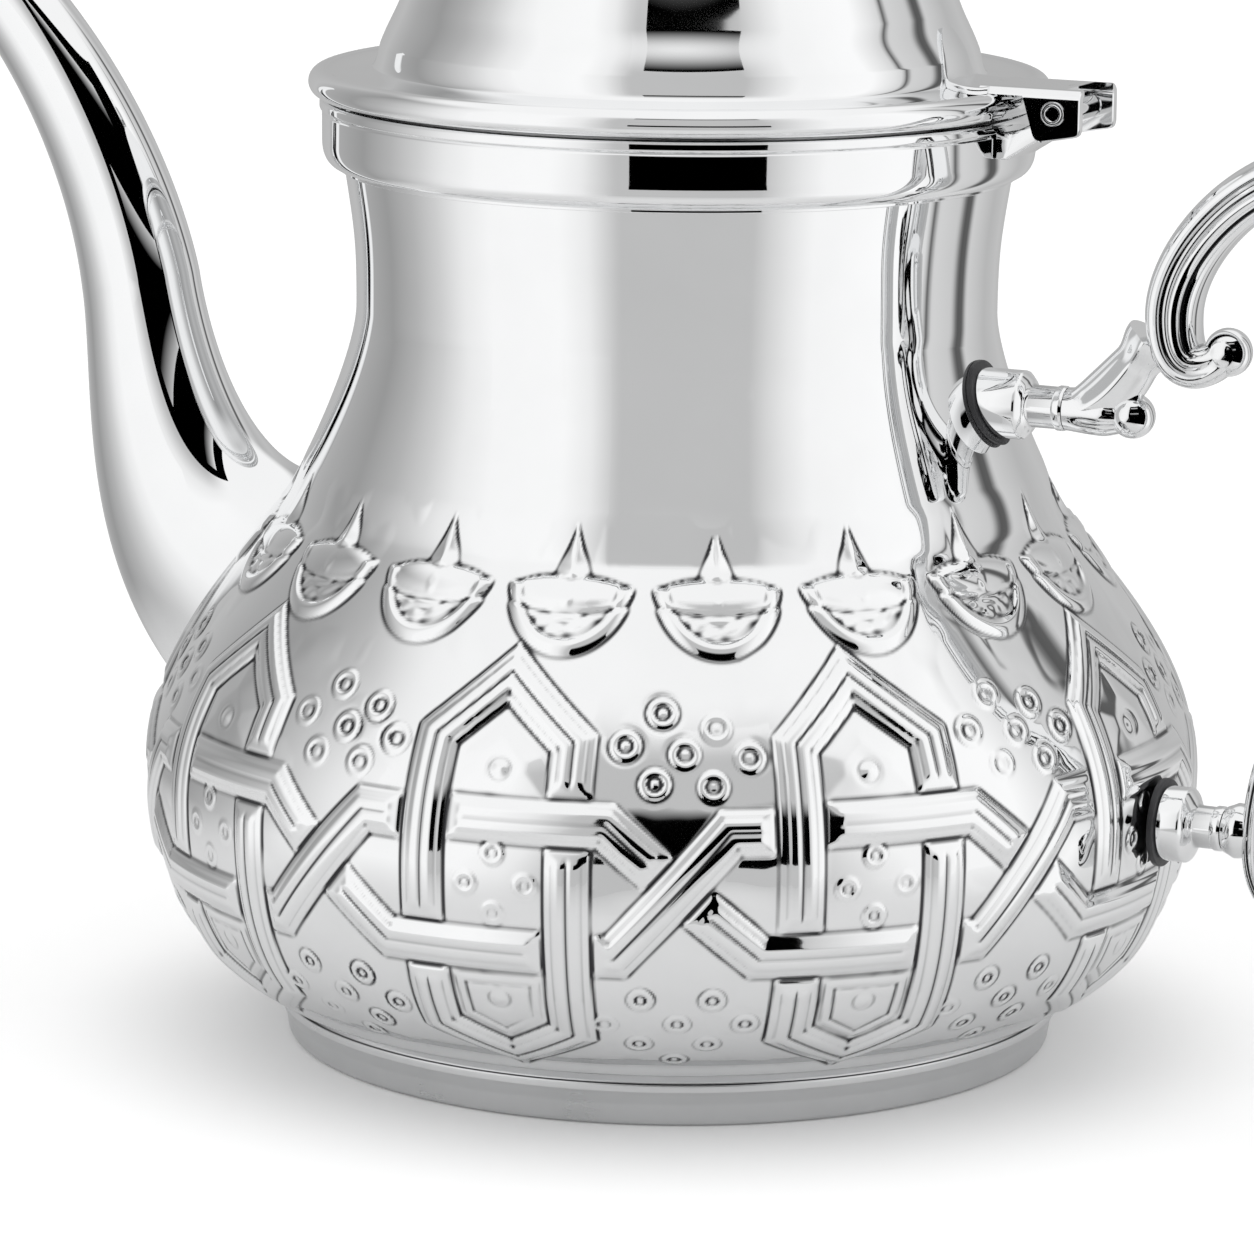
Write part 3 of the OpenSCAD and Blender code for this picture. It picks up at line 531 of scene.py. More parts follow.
HEX_X = 7.9
HEX = [(-HEX_X, 56.0), (-0.5, 65.0), (HEX_X, 56.0), (HEX_X, 15.0), (0.0, 8.5), (-HEX_X, 15.0)]
UPPER_S, LOWER_S = 45.4, 28.0
DOWN = [(-8.0, UPPER_S), (11.8, UPPER_S), (27.8, LOWER_S), (48.0, LOWER_S)]
UP = [(7.0, LOWER_S), (12.9, LOWER_S), (24.7, 44.7), (33.0, 44.7)]
CROSSING = (13, 25)  # between these x the strand going up passes over the one going down


def hexagon_offset(x, s, k):
    """Signed distance from the tall hexagon's centre-line, positive outside, with mitred corners."""
    d = np.full(x.shape, -99.0)
    for a, b in zip(HEX, HEX[1:] + HEX[:1]):
        off, _, _ = line_offset((x * k, s), (a[0] * k, a[1]), (b[0] * k, b[1]))
        d = np.maximum(d, off)
    return d


def ring_dot(dist, outer):
    """A punched ring: an outer groove, a raised ring, an inner groove and a centre button."""
    q = dist / outer
    ring = 0.26 * hump(q, 0.66, 0.17)
    grooves = -0.16 * hump(q, 0.98, 0.12) - 0.16 * hump(q, 0.36, 0.12)
    button = 0.16 * hump(q, 0, 0.2)
    return np.where(q < 1.5, ring + grooves + button, 0)


UPPER_DOTS = [(-1, 60.5), (5, 58.5), (-5, 56), (1.5, 55), (8.5, 54.5), (-1.7, 51), (4.5, 50.7)]
PANEL_DOTS = [(0, 41), (-3, 36.8), (3.5, 37), (0, 33)]
LOWER_DOTS = [(-3, 21.5), (4.7, 21.5), (-7, 17), (1, 17.3), (8.5, 17.3), (-3.3, 13), (4.5, 13), (0.8, 8.5)]
BUTTONS = [(0.0, 52.0, 0.75), (0.0, 20.5, 0.7)]  # the last number is the button's radius
UNEVEN = [(0.13, 5, 54, 8.0), (0.05, 8, 130, 3.4)]  # height in mm, seed, cells round the belly, mm to a cell
CROSS_X = 18.5  # the middle of the dot clusters between two hexagons, less the clusters' own 1.5 degrees
FESTOON_X = 4.5


def festoon(u, s):
    """Height of one hanging scallop with its leaf, u mm round from its middle."""
    half, depth = 8.5, 10.0
    q = np.sqrt((u / half) ** 2 + (np.clip(77.5 - s, 0, None) / depth) ** 2)
    inside = (1 - smooth(q, 0.93, 1.03)) * (1 - smooth(s, 77.2, 78.2))
    rim = 0.5 * smooth(1 - q, -0.03, 0.12) * inside
    lip = 0.2 * hump(q, 0.82, 0.06) * inside
    bed = -0.22 * (1 - smooth(np.abs(q - 0.6), 0.1, 0.19)) * (1 - smooth(s, 73.4, 74.4))
    pits = 0.1 * np.sin(u * 1.5 + 1.3 * np.sin(s * 1.1)) * np.cos(s * 1.9 + 0.9 * np.sin(u * 0.9))
    crescent = (bed + pits * (1 - smooth(np.abs(q - 0.6), 0.08, 0.16)) * (1 - smooth(s, 73.2, 74.2))) * inside
    lens_q = (u / 8.2) ** 2 + ((s - 76.6) / 2.7) ** 2
    lens = 0.78 * np.sqrt(np.clip(1 - lens_q, 0, 1))
    sunk = -0.3 * hump(lens_q, 1.12, 0.16) * (1 - smooth(s, 76.4, 77.2)) * inside
    stem = 0.16 * hump(u, 0, 0.45) * hump(s, 75.9, 1.0)
    cap = 0.24 * np.exp(-((u / 1.7) ** 4)) * hump(s, 79.0, 0.42)
    width = 2.5 * (1 - smooth(s, 78.6, 86.2)) + 1e-3
    leaf = 0.75 * np.clip(1 - np.abs(u) / width, 0, 1) * smooth(s, 78.2, 79.4)
    leaf = np.where((s > 78.2) & (s < 86.0), leaf, 0)
    return np.maximum(np.maximum(rim + lip + crescent + sunk, lens + stem), leaf + cap)


def waves(x, s, seed, cells_round, cell_s):
    """Smooth seeded noise from -1 to 1 that closes up round the axis."""
    rows = int(BODY_ARC / cell_s) + 4
    table = np.random.default_rng(seed).uniform(-1, 1, (rows, cells_round))
    fx = (x / 360 % 1) * cells_round
    fs = np.clip(s / cell_s + 1, 0, rows - 2.001)
    ix, iy = fx.astype(int), fs.astype(int)
    tx, ty = smooth(fx - ix, 0, 1), smooth(fs - iy, 0, 1)
    x1 = (ix + 1) % cells_round
    low = table[iy, ix % cells_round] * (1 - tx) + table[iy, x1] * tx
    high = table[iy + 1, ix % cells_round] * (1 - tx) + table[iy + 1, x1] * tx
    return low * (1 - ty) + high * ty


def under(off, *clear):
    """Height of a strap, off mm from its centre-line, below the straps whose edges are clear mm away."""
    height = strap_height(off)
    for gap in clear:
        height = np.minimum(height, hip(gap))
    return height


def strap_net(x, s, k, ring):
    """Height of the interlace: the hexagons, and between them a strand down and a shorter one up."""
    height = under(ring, np.where(x > 0, np.abs(s - UPPER_S), np.abs(s - LOWER_S)) - STRAP - GAP)
    cross = np.where(x > 0, x, x + PERIOD)
    up_line, _, _ = line_offset((cross * k, s), (UP[1][0] * k, UP[1][1]), (UP[2][0] * k, UP[2][1]))
    for xs in (x, x + PERIOD):
        left, right = (xs + HEX_X) * k - STRAP - GAP, (PERIOD + HEX_X - xs) * k - STRAP - GAP
        down = under(strand(xs, s, k, DOWN), left, right)
        near = (xs > CROSSING[0]) & (xs < CROSSING[1])
        down = np.where(near, np.minimum(down, hip(np.abs(up_line) - STRAP - GAP)), down)
        left, right = (xs - HEX_X) * k - STRAP - GAP, (PERIOD - HEX_X - xs) * k - STRAP - GAP
        up = under(strand(xs, s, k, UP), left, right)
        height = np.maximum(height, np.maximum(down, up))
    return height


def fields(theta, x, s, k, ring):
    """Height between the straps: uneven sheet, a crown and a shield in each hexagon, and punched dots."""
    ground = sum(height * waves(theta, s, *cells) for height, *cells in UNEVEN)
    depth = -ring - STRAP
    crown = np.clip(np.minimum(depth, s - UPPER_S - STRAP), 0, None)
    ground = ground + np.where(s > UPPER_S, 0.34 * np.clip(crown / 3.2, 0, 1), 0)
    low_cell = np.clip(np.minimum(depth, LOWER_S - STRAP - s), 0, None)
    shield = 0.26 * hump(low_cell, 1.5, 0.42) + 0.2 * smooth(low_cell, 1.9, 3.1)
    ground = ground + np.where(s < LOWER_S, shield, 0)
    for bx, bs, size in BUTTONS:
        away = np.hypot((x - bx) * k, s - bs)
        ground = ground + 0.22 * hump(away, 0, size) - 0.1 * hump(away, 1.5, 0.4)
    between = wrapped(x - CROSS_X, PERIOD)
    clusters = (between, 2.4, UPPER_DOTS), (x, 1.85, PANEL_DOTS), (between, 1.95, LOWER_DOTS)
    for offset, outer, dots in clusters:
        for dx, dot_s in dots:
            ground = ground + ring_dot(np.hypot((offset - dx) * k, s - dot_s), outer)
    return ground


def relief(theta, s, r):
    """Offset of the pressed skin from the plain outline, in mm and never above it."""
    k = np.radians(1) * r
    x = wrapped(theta - PHASE, PERIOD)
    ring = hexagon_offset(x, s, k)
    height = strap_net(x, s, k, ring)
    clear = 1 - smooth(height, 0.02, 0.12)  # the fields end where a strap steps up
    height = np.maximum(height, 0) + fields(theta, x, s, k, ring) * clear
    across = wrapped(x - FESTOON_X, PERIOD / 2)
    height = np.maximum(height, festoon(across * k, s))
    sink = RELIEF * smooth(s, BELT_LOW, BELT_LOW + 3.0) * (1 - smooth(s, 79.0, BELT_HIGH - 0.5))
    room = smooth(s, BELT_LOW, BELT_LOW + 2.0) * (1 - smooth(s, BELT_HIGH - 2.5, BELT_HIGH - 0.3))
    return np.minimum(-sink + height * room, 0.0)


# ---------------------------------------------------------------- the body
def handle_and_spout_holes():
    """(radius, y, z, side) of the round holes through the body."""
    holes = [(STUD_R + 0.1, 0.0, UPPER_Z, 1), (STUD_R + 0.1, 0.0, LOWER_Z, 1), (HOLE_R, 0.0, STRAINER_Z, -1)]
    for i in range(6):
        a = math.radians(60 * i)
        holes.append((HOLE_R, HOLE_PITCH * math.sin(a), STRAINER_Z + HOLE_PITCH * math.cos(a), -1))
    return holes


def without_holes(verts, faces, margin):
    """Faces left once the ones over a hole are gone."""
    middle = verts[faces].mean(1)
    keep = np.ones(len(faces), bool)
    for radius, y, z, side in handle_and_spout_holes():
        near = np.hypot(middle[:, 1] - y, middle[:, 2] - z) < radius + margin
        keep &= ~(near & (middle[:, 0] * side > 0))
    return faces[keep]


def revolve_grid(theta, s, offset):
    """Points that stand offset mm off the body's skin, row by row."""
    r, z, nr, nz = body_at(s)
    a = np.radians(theta)
    r = r[:, None] + offset * nr[:, None]
    z = z[:, None] + offset * nz[:, None]
    return np.stack([r * np.cos(a), r * np.sin(a), z + 0 * a], -1).reshape(-1, 3)


def softened(grid):
    """The grid with each value shared a little with its neighbours; the first and last rows stay."""
    out = (np.roll(grid, 1, 1) + 2 * grid + np.roll(grid, -1, 1)) / 4
    out[1:-1] = (out[:-2] + 2 * out[1:-1] + out[2:]) / 4
    return out


def crease_shade_share(offset, s, r):
    """Share of painted shade at each point, from 0 to 1: where the sheet curves inward sharply in a pressed
    corner.
    """
    offset = softened(offset)
    ds = np.gradient(s)[:, None]
    da = (TAU / offset.shape[1] * r)[:, None]
    along = np.gradient(np.gradient(offset, axis=0) / ds, axis=0) / ds
    round_way = (np.roll(offset, 1, 1) + np.roll(offset, -1, 1) - 2 * offset) / da**2
    return smooth(along + round_way, CHASE_FROM, CHASE_FULL)


def make_belly():
    """The pressed skin, fine enough for its relief to be real."""
    theta = np.arange(BELLY_COLS) * 360 / BELLY_COLS
    s = np.concatenate([[0, 1.0, 2.0], np.arange(BELT_LOW, BELT_HIGH, BELLY_STEP), [BELT_HIGH]])
    r = body_at(s)[0]
    offset = softened(relief(theta[None, :] + 0 * s[:, None], s[:, None] + 0 * theta[None, :], r[:, None]))
    verts = revolve_grid(theta[None, :], s, offset)
    faces = without_holes(verts, grid_faces(len(s), BELLY_COLS), 0.1)
    mesh = bpy.data.meshes.new("belly")
    mesh.vertices.add(len(verts))
    mesh.vertices.foreach_set("co", (verts * MM).astype(np.float32).ravel())
    mesh.loops.add(len(faces) * 4)
    mesh.loops.foreach_set("vertex_index", faces.astype(np.int32).ravel())
    mesh.polygons.add(len(faces))
    mesh.polygons.foreach_set("loop_start", np.arange(len(faces), dtype=np.int32) * 4)
    mesh.update(calc_edges=True)
    # The share of painted shade in the pressed creases, for the belly's material.
    shade = mesh.attributes.new("chased", "FLOAT", "POINT")
    shade.data.foreach_set("value", crease_shade_share(offset, s, r).astype(np.float32).ravel())
    place("belly", mesh, CHASED_METAL, 0, ["body_shell"])


def make_neck():
    """The plain neck above the belt, and the dull inner skin with the rim."""
    cols = 360
    theta = np.arange(cols) * 360 / cols
    s = np.linspace(BELT_HIGH, BODY_ARC, 70)
    outer = revolve_grid(theta[None, :], s, np.zeros((len(s), cols)))
    build("neck", outer, grid_faces(len(s), cols), BODY_METAL, 0, ["neck_shell"], welded=False)
    s = np.linspace(BODY_ARC, 0, 130)
    inner = revolve_grid(theta[None, :], s, np.full((len(s), cols), -WALL))
    verts = np.concatenate([lathe_points([(MOUTH_R, COLLAR_TOP - LIP_T)], cols), inner])
    faces = without_holes(verts, grid_faces(len(s) + 1, cols), 0.35)
    build("body_inside", verts, faces, INNER, 0, ["body_shell", "neck_shell"], welded=False)


def make_strainer():
    """A turned-in lip round each strainer hole, seen from inside the pot."""
    parts = []
    for radius, y, z, side in handle_and_spout_holes():
        if side > 0:
            continue
        outline = rounded([(radius, -WALL - 0.25, 0.2), (radius + 0.75, -WALL - 0.12, 0.15),
                           (radius + 0.75, -WALL + 0.1), (radius + 0.25, 0.15), (radius, 0.15)], 3)
        ring = lathe_points(outline, 32, True)
        across = y + ring[:, 1]
        skin = np.sqrt(np.clip(body_radius(z + ring[:, 2]) ** 2 - across**2, 1, None))
        parts.append((np.stack([-(skin + ring[:, 0]), across, z + ring[:, 2]], -1),
                      grid_faces(len(outline), 32, wrap_rows=True).tolist()))
    solid("strainer_holes", parts, INNER, replaces=[])


def make_foot():
    """The foot ring, and inside it the base disc with its turning marks."""
    base_r = SEAM_R - WALL * 2.2 - 0.1
    outline = rounded([
        (FOOT_R - FOOT_W, 0.0, 0.4), (FOOT_R, 0.0, 0.9), (FOOT_R + 0.5, FOOT_H * 0.5, 2.0),
        (SEAM_R - 0.25, FOOT_H * 0.74, 0.3), (SEAM_R, FOOT_H * 0.8, 0.3), (SEAM_R, FOOT_H - 0.15, 0.35),
        (SEAM_R - 1.2, FOOT_H - 0.05), (base_r - 2, FOOT_H - 0.05), (FOOT_R - FOOT_W, FOOT_H - 2, 0.5)], 6)
    lathe("foot_ring", outline, SATIN, 288)
    rings = [(0.0, FOOT_H)]
    rings += [(r, FOOT_H + 0.12 * (1 - math.cos(r * 0.9))) for r in np.arange(2.0, base_r - 2, 1.0)]
    rings += [(base_r, FOOT_H), (base_r, FOOT_H + WALL), (0.0, FOOT_H + WALL)]
    lathe("base_disc", rings, INNER, 144)


def make_collar():
    """From below: a thin seam, a full rounding, an upright band and a bead along the upper edge."""
    band_r, band_z, bead_z = COLLAR_R - 0.35, NECK_Z + COLLAR_H * 0.42, COLLAR_TOP - 1.65
    foot = (NECK_R + 0.75, NECK_Z + 0.5)
    curve = [foot, (NECK_R + 2.3, NECK_Z + 0.6), (band_r, band_z - 2.1), (band_r, band_z)]
    outline = [(NECK_R + 0.02, NECK_Z), (NECK_R + 0.6, NECK_Z, 0.15), (NECK_R + 0.6, NECK_Z + 0.42, 0.1)]
    outline += [tuple(p) for p in bezier(curve, 22, True)] + [
        (band_r + 0.02, bead_z - 0.35, 0.3), (band_r - 0.12, bead_z - 0.1, 0.1), (band_r, bead_z, 0.1),
        (COLLAR_R, bead_z + 0.35, 0.5), (COLLAR_R, COLLAR_TOP - 0.3, 0.6), (COLLAR_R - 0.5, COLLAR_TOP, 0.4),
        (MOUTH_R + LIP_T, COLLAR_TOP - 0.1, 0.2), (MOUTH_R, COLLAR_TOP, 0.4),
        (MOUTH_R, COLLAR_TOP - LIP_T + 0.02), (NECK_R + 0.02, COLLAR_TOP - LIP_T + 0.02)]
    lathe("rim_collar", rounded(outline, 8), SHINE, 288, sharp=40)


# ---------------------------------------------------------------- the spout
def make_spout():
    """A tube with a rolled lip, wider to its root."""
    low, high, bow = SPOUT_MID_Z - SPOUT_ROOT_Z, SPOUT_TIP_Z - SPOUT_MID_Z, 0.3 * SPOUT_MID_R
    mid = (-SPOUT_MID_X, SPOUT_MID_Z)
    curves = [
        [(-0.78 * BELLY_R, SPOUT_ROOT_Z), (-SPOUT_MID_X + 2 * bow, SPOUT_ROOT_Z + 0.144 * low),
         (-SPOUT_MID_X + bow, SPOUT_MID_Z - 0.344 * low), mid],
        [mid, (-SPOUT_MID_X - bow, SPOUT_MID_Z + 0.267 * high),
         (-0.35 * SPOUT_TIP_X - 0.65 * SPOUT_MID_X, SPOUT_TIP_Z - 0.317 * high), (-SPOUT_TIP_X, SPOUT_TIP_Z)]]
    steps, sides = 90, 96
    path = chain(curves, steps)
    u = np.arange(2 * steps + 1) / steps
    half = np.where(u < 1, SPOUT_MID_R + SPOUT_FLARE * np.clip(1 - u, 0, 1) ** 1.7,
                    SPOUT_MID_R + (SPOUT_TIP_R - SPOUT_MID_R) * np.clip(u - 1, 0, 1) ** 1.15)
    oval = SPOUT_OVAL_ROOT + (SPOUT_OVAL_TIP - SPOUT_OVAL_ROOT) * np.sin(np.radians(45 * u))
    outer = tube_points(path, half, half * oval, circle(sides)[None])
    inner = tube_points(path, half - WALL, half * oval - WALL, circle(sides)[None])
    ahead, bulge = np.array([-0.82, 0, 0.57]), 0.28
    lip = [(1 - t) * outer[-1] + t * inner[-1] + bulge * math.sin(math.pi * t) * ahead
           for t in np.linspace(0, 1, 9)[1:-1]]
    rings = np.concatenate([outer, np.stack(lip), inner[::-1]])
    verts = rings.reshape(-1, 3)
    faces = grid_faces(len(rings), sides)
    # What lies inside the body goes, but for a little that runs into its skin.
    middle = verts[faces].mean(1)
    keep = np.hypot(middle[:, 0], middle[:, 1]) > body_radius(middle[:, 2]) - 0.7
    build("spout", verts, faces[keep], SHINE, 60, welded=False)


# ---------------------------------------------------------------- the handle
UPPER_SEAT = body_radius(UPPER_Z) + INSUL_T
LOWER_SEAT = body_radius(LOWER_Z) + INSUL_T
UPPER_FER_END, LOWER_FER_END = UPPER_SEAT + UPPER_FER_L, LOWER_SEAT + LOWER_FER_L
UPPER_STEM_END, LOWER_STEM_END = UPPER_FER_END + UPPER_STEM_L, LOWER_FER_END + LOWER_STEM_L
BACK_X, BACK_Z = UPPER_STEM_END + ARM_REACH, UPPER_Z + 13.6
TOP_X, TOP_Z = BACK_X + 22, BACK_Z + GRIP_RISE
FAR_X, FAR_Z = BACK_X + GRIP_REACH, BACK_Z - 8
END_X, END_Z = LOWER_STEM_END + 2.6 + BAR_T / 2, LOWER_Z - 1
GRIP_CURVES = [
    [(BACK_X + 7.6, BACK_Z - 4.4), (BACK_X + 3.2, BACK_Z - 8.6), (BACK_X, BACK_Z - 6.5), (BACK_X, BACK_Z)],
    [(BACK_X, BACK_Z), (BACK_X, BACK_Z + 9), (TOP_X - 11, TOP_Z), (TOP_X, TOP_Z)],
    [(TOP_X, TOP_Z), (TOP_X + 10, TOP_Z), (FAR_X, FAR_Z + 14), (FAR_X, FAR_Z)],
    [(FAR_X, FAR_Z), (FAR_X, FAR_Z - 24), (END_X, END_Z + 24), (END_X, END_Z)],
    [(END_X, END_Z), (END_X, END_Z - 7), (END_X + 3.5, END_Z - 10), (END_X + 8.2, END_Z - 5.6)],
]


def on_skin(outline, z0, sides):
    """A disc of (radius, height off the skin) points on the body, with its axis along X at height z0."""
    verts = []
    for radius, off in outline:
        for a in np.arange(sides) * TAU / sides:
            y, z = radius * math.cos(a), z0 + radius * math.sin(a)
            skin = body_radius(z) + off
            verts.append((math.sqrt(max(skin**2 - y**2, 1)), y, z))
    return np.array(verts), grid_faces(len(outline), sides, wrap_rows=True).tolist()


def make_ferrule(name, z, r, fer_end, stem_end):
    """A turned ferrule with its stem. The first rings lie on the skin, so that the foot follows it."""
    sides = 96
    foot, _ = on_skin([(STUD_R, INSUL_T + 0.02), (r - 0.15, INSUL_T + 0.02), (r, INSUL_T + 0.2)], z, sides)
    edge = fer_end - FER_CHAM
    turned = [
        (r, edge - 0.15), (r - 0.06, edge + 0.05), (r - 0.3, edge + 0.3), (STEM_R + 0.75, fer_end - 0.2),
        (STEM_R + 0.4, fer_end), (STEM_R + 0.08, fer_end + 0.12), (STEM_R - 0.18, fer_end + 0.4),
        (STEM_R - 0.2, stem_end - 1.5), (STEM_R - 0.05, stem_end - 1.35), (STEM_R, stem_end - 1.2),
        (STEM_R, stem_end - 0.45), (STEM_R - 0.1, stem_end - 0.3), (STEM_R - 0.15, stem_end - 0.1),
        (0.05, stem_end)]
    c, s = circle(sides).T
    rings = [np.stack([np.full(sides, x), q * c, z + q * s], -1) for q, x in turned]
    verts = np.concatenate([foot, *rings])
    solid(name, [(verts, grid_faces(len(verts) // sides, sides).tolist())], SHINE, 28)


def make_mounts():
    """The black washer and the ferrule at each end of the handle."""
    for name, z, r, fer_end, stem_end in (("upper", UPPER_Z, UPPER_FER_R, UPPER_FER_END, UPPER_STEM_END),
                                          ("lower", LOWER_Z, LOWER_FER_R, LOWER_FER_END, LOWER_STEM_END)):
        disc = band(STUD_R, r + INSUL_OVER, 0.02, INSUL_T, 0.2, 0.2, 4)
        solid(f"{name}_insulator", [on_skin(disc, z, 64)], BLACK)
        make_ferrule(f"{name}_ferrule", z, r, fer_end, stem_end)


def bar_section(rows, sides, fade):
    """A moulded bar: on each side, from its outer edge, a groove, a bead, a wide hollow and a broad bead."""
    c, s = circle(sides).T
    flat = (np.abs(c) ** 2.8 + np.abs(s) ** 2.8) ** (-1 / 2.8)
    base = np.stack([c * flat, s * flat], -1)
    t = base[:, 0]
    narrow = 0.16 * hump(t, 0.6, 0.07) + 0.05 * hump(t, 0.12, 0.05)
    hollow = 0.3 * np.sqrt(np.clip(1 - ((t + 0.14) / 0.27) ** 2, 0, 1))
    bead = 0.05 * hump(t, 0.33, 0.15) + 0.06 * hump(t, -0.66, 0.2)
    depth = np.where(np.abs(base[:, 1]) > 0.5, narrow + hollow - bead, 0)
    out = np.repeat(base[None], rows, 0)
    out[..., 1] *= 1 - depth[None] * fade[:, None]
    return out


def make_grip():
    """The scroll and grip in one bar, thinner to its two ends, each with a button."""
    steps, sides = 60, 144
    path = chain(GRIP_CURVES, steps)
    n = len(path) - 1
    i = np.arange(n + 1)
    d = np.minimum(i, n - i) / (1.2 * steps)
    taper = 0.66 + 0.34 * np.sin(np.radians(90 * np.clip(d, 0, 1)))
    fade = smooth(d, 0.02, 0.35)
    rings = tube_points(path, BAR_T / 2 * taper, BAR_W / 2 * taper, bar_section(n + 1, sides, fade))
    solid("handle_grip", [capped(rings)] + [volute((p[0], 0, p[1])) for p in (path[0], path[-1])], CAST, 50)


def volute(centre):
    """The button that ends a scroll: a round boss with a turned rim on each face."""
    r = VOLUTE_R
    outline = [(0.0, -r + 0.1), (r * 0.3, -r + 0.12), (r * 0.42, -r + 0.32), (r * 0.52, -r + 0.38)]
    outline += [(r * math.cos(a), r * 0.93 * math.sin(a)) for a in np.radians(np.linspace(-60, 60, 25))]
    outline += [(q, -y) for q, y in reversed(outline[:4])]
    return lathe_across(outline, 48, centre)


BRANCH_SIDES = 64


def rising_branch(x0, z):
    """The fork's upper branch, with a crease along each side once it has left the stem."""
    meet = (BACK_X - BAR_T / 2 + 0.8, BACK_Z - 3.4)
    path = chain([[(x0, z), (x0 + 5, z), (x0 + 8, z + 5), meet]], 48)
    t = np.linspace(0, 1, len(path))
    half_in = STEM_R - 0.5 + 1.3 * np.sin(math.pi * t) * (1 - 0.25 * t) + 1.3 * smooth(t, 0.78, 1.0)
    across = STEM_R - 0.3 + 1.0 * smooth(t, 0.75, 1.0)
    c, s = circle(BRANCH_SIDES).T
    crease = 1 + 0.10 * hump(np.abs(c), 0, 0.16) - 0.09 * hump(np.abs(c), 0.5, 0.2)
    section = np.repeat(np.stack([c, s * crease], -1)[None], len(path), 0)
    begun = smooth(t, 0.08, 0.3)[:, None]
    section[..., 1] = s * (1 - begun) + section[..., 1] * begun
    return capped(tube_points(path, half_in, across, section))


def bud_branch(x0, z):
    """The fork's lower branch: a bud with two petals on each side."""
    path = chain([[(x0, z), (x0 + 3, z), (x0 + 6, z - 0.2), (x0 + 9, z - 0.2)]], 32)
    t = np.linspace(0, 1, len(path))
    swell = 0.25 * np.sin(math.pi * t)
    thick = STEM_R - 0.15 + swell - 0.5 * smooth(t, 0.55, 0.9) + 0.3 * smooth(t, 0.9, 1.0)
    wide = thick - swell
    c, s = circle(BRANCH_SIDES).T
    petals = 1 - 0.1 * hump(np.abs(c), 0.42, 0.13) * (np.abs(s) > 0.3)
    section = np.repeat(np.stack([c, s], -1)[None], len(path), 0)
    section[..., 1] *= 1 + (petals - 1) * (smooth(t, 0.1, 0.35) * (1 - smooth(t, 0.75, 0.95)))[:, None]
    return capped(tube_points(path, thick, wide, section))


def make_upper_arm():
    """The cast fork behind the upper stem: one branch rises to the scroll, the other ends in a ball."""
    x0, z = UPPER_STEM_END + 0.02, UPPER_Z
    parts = [rising_branch(x0, z), bud_branch(x0, z), ball((x0 + 9, 0, z - 0.2), BUD_R, 0.98)]
    solid("handle_upper_arm", parts, CAST, 50)


def make_lower_arm():
    """A flare behind the lower stem, which runs into the grip."""
    x0, end = LOWER_STEM_END + 0.02, 5.0
    flare = [
        (-0.1, 0.0), (0.1, 0.15), (0.35, 0.8), (0.68, 1.5), (0.62, 2.2), (0.35, 3.2), (0.2, 4.2), (0.2, end)]
    outline = [(0.0, x0)] + [(STEM_R + out, x0 + on) for out, on in flare] + [(0.0, x0 + end)]
    lathe("handle_lower_arm", outline, CAST, 64, False, LOWER_Z, 50)


def hex_nut_part(r, h, bore):
    """A hexagon nut with chamfered corners, its axis on +Z from z = 0."""
    sides = 72
    a = np.arange(sides) * TAU / sides
    flat = r * math.cos(math.pi / 6)
    hexagon = flat / np.cos((a + math.pi / 6) % (math.pi / 3) - math.pi / 6)
    face, chamfer = flat * 0.97, flat * 1.06
    levels = [(0.0, face), (0.35, chamfer), (0.75, r), (h - 0.75, r), (h - 0.35, chamfer), (h, face)]
    rows = [(np.minimum(hexagon, limit), z) for z, limit in levels] + [(bore, h), (bore, 0.0)]
    verts = np.stack([np.stack([q * np.cos(a), q * np.sin(a), np.full(sides, z)], -1) for q, z in rows])
    return verts.reshape(-1, 3), grid_faces(len(rows), sides, wrap_rows=True).tolist()


def thread_outline(r, start, end, pitch=0.7):
    """A stud with rolled threads, as rings."""
    out = [(0.0, start), (r - 0.4, start), (r - 0.1, start + 0.35)]
    z = start + 0.35
    while z < end - pitch:
        out += [(r, z + pitch * 0.3), (r, z + pitch * 0.45), (r - 0.3, z + pitch * 0.9)]
        z += pitch
    return out + [(r, end), (0.0, end)]


NUT_R, NUT_H, WASHER_T, WASHER_R = 4.0, 3.2, 1.0, 6.0


def nut_face(z):
    """How far from the axis the nut on a stud at height z begins."""
    return min(body_radius(z + d) for d in (-NUT_R, 0, NUT_R)) - WALL - WASHER_T - 0.4


def make_fixings():
    """Studs through the wall, with their washers and nuts inside the pot."""
    nuts, washers = [], []
    washer = band(STUD_R + 0.1, WASHER_R, -WALL - WASHER_T, -WALL - 0.02, 0.3, 0, 3)
    for name, z in (("upper", UPPER_Z), ("lower", LOWER_Z)):
        face = nut_face(z)
        v, f = hex_nut_part(NUT_R, NUT_H, STUD_R)
        nuts.append((v[:, [2, 1, 0]] + [face - NUT_H, 0, z], f))
        washers.append(on_skin(washer, z, 64))
        thread = thread_outline(STUD_R, face - NUT_H - 1.5, face + 1)
        lathe(f"{name}_stud", thread, STEEL, 40, False, z, 30)
    solid("handle_nuts", nuts, STEEL, 25)
    solid("handle_washers", washers, STEEL)


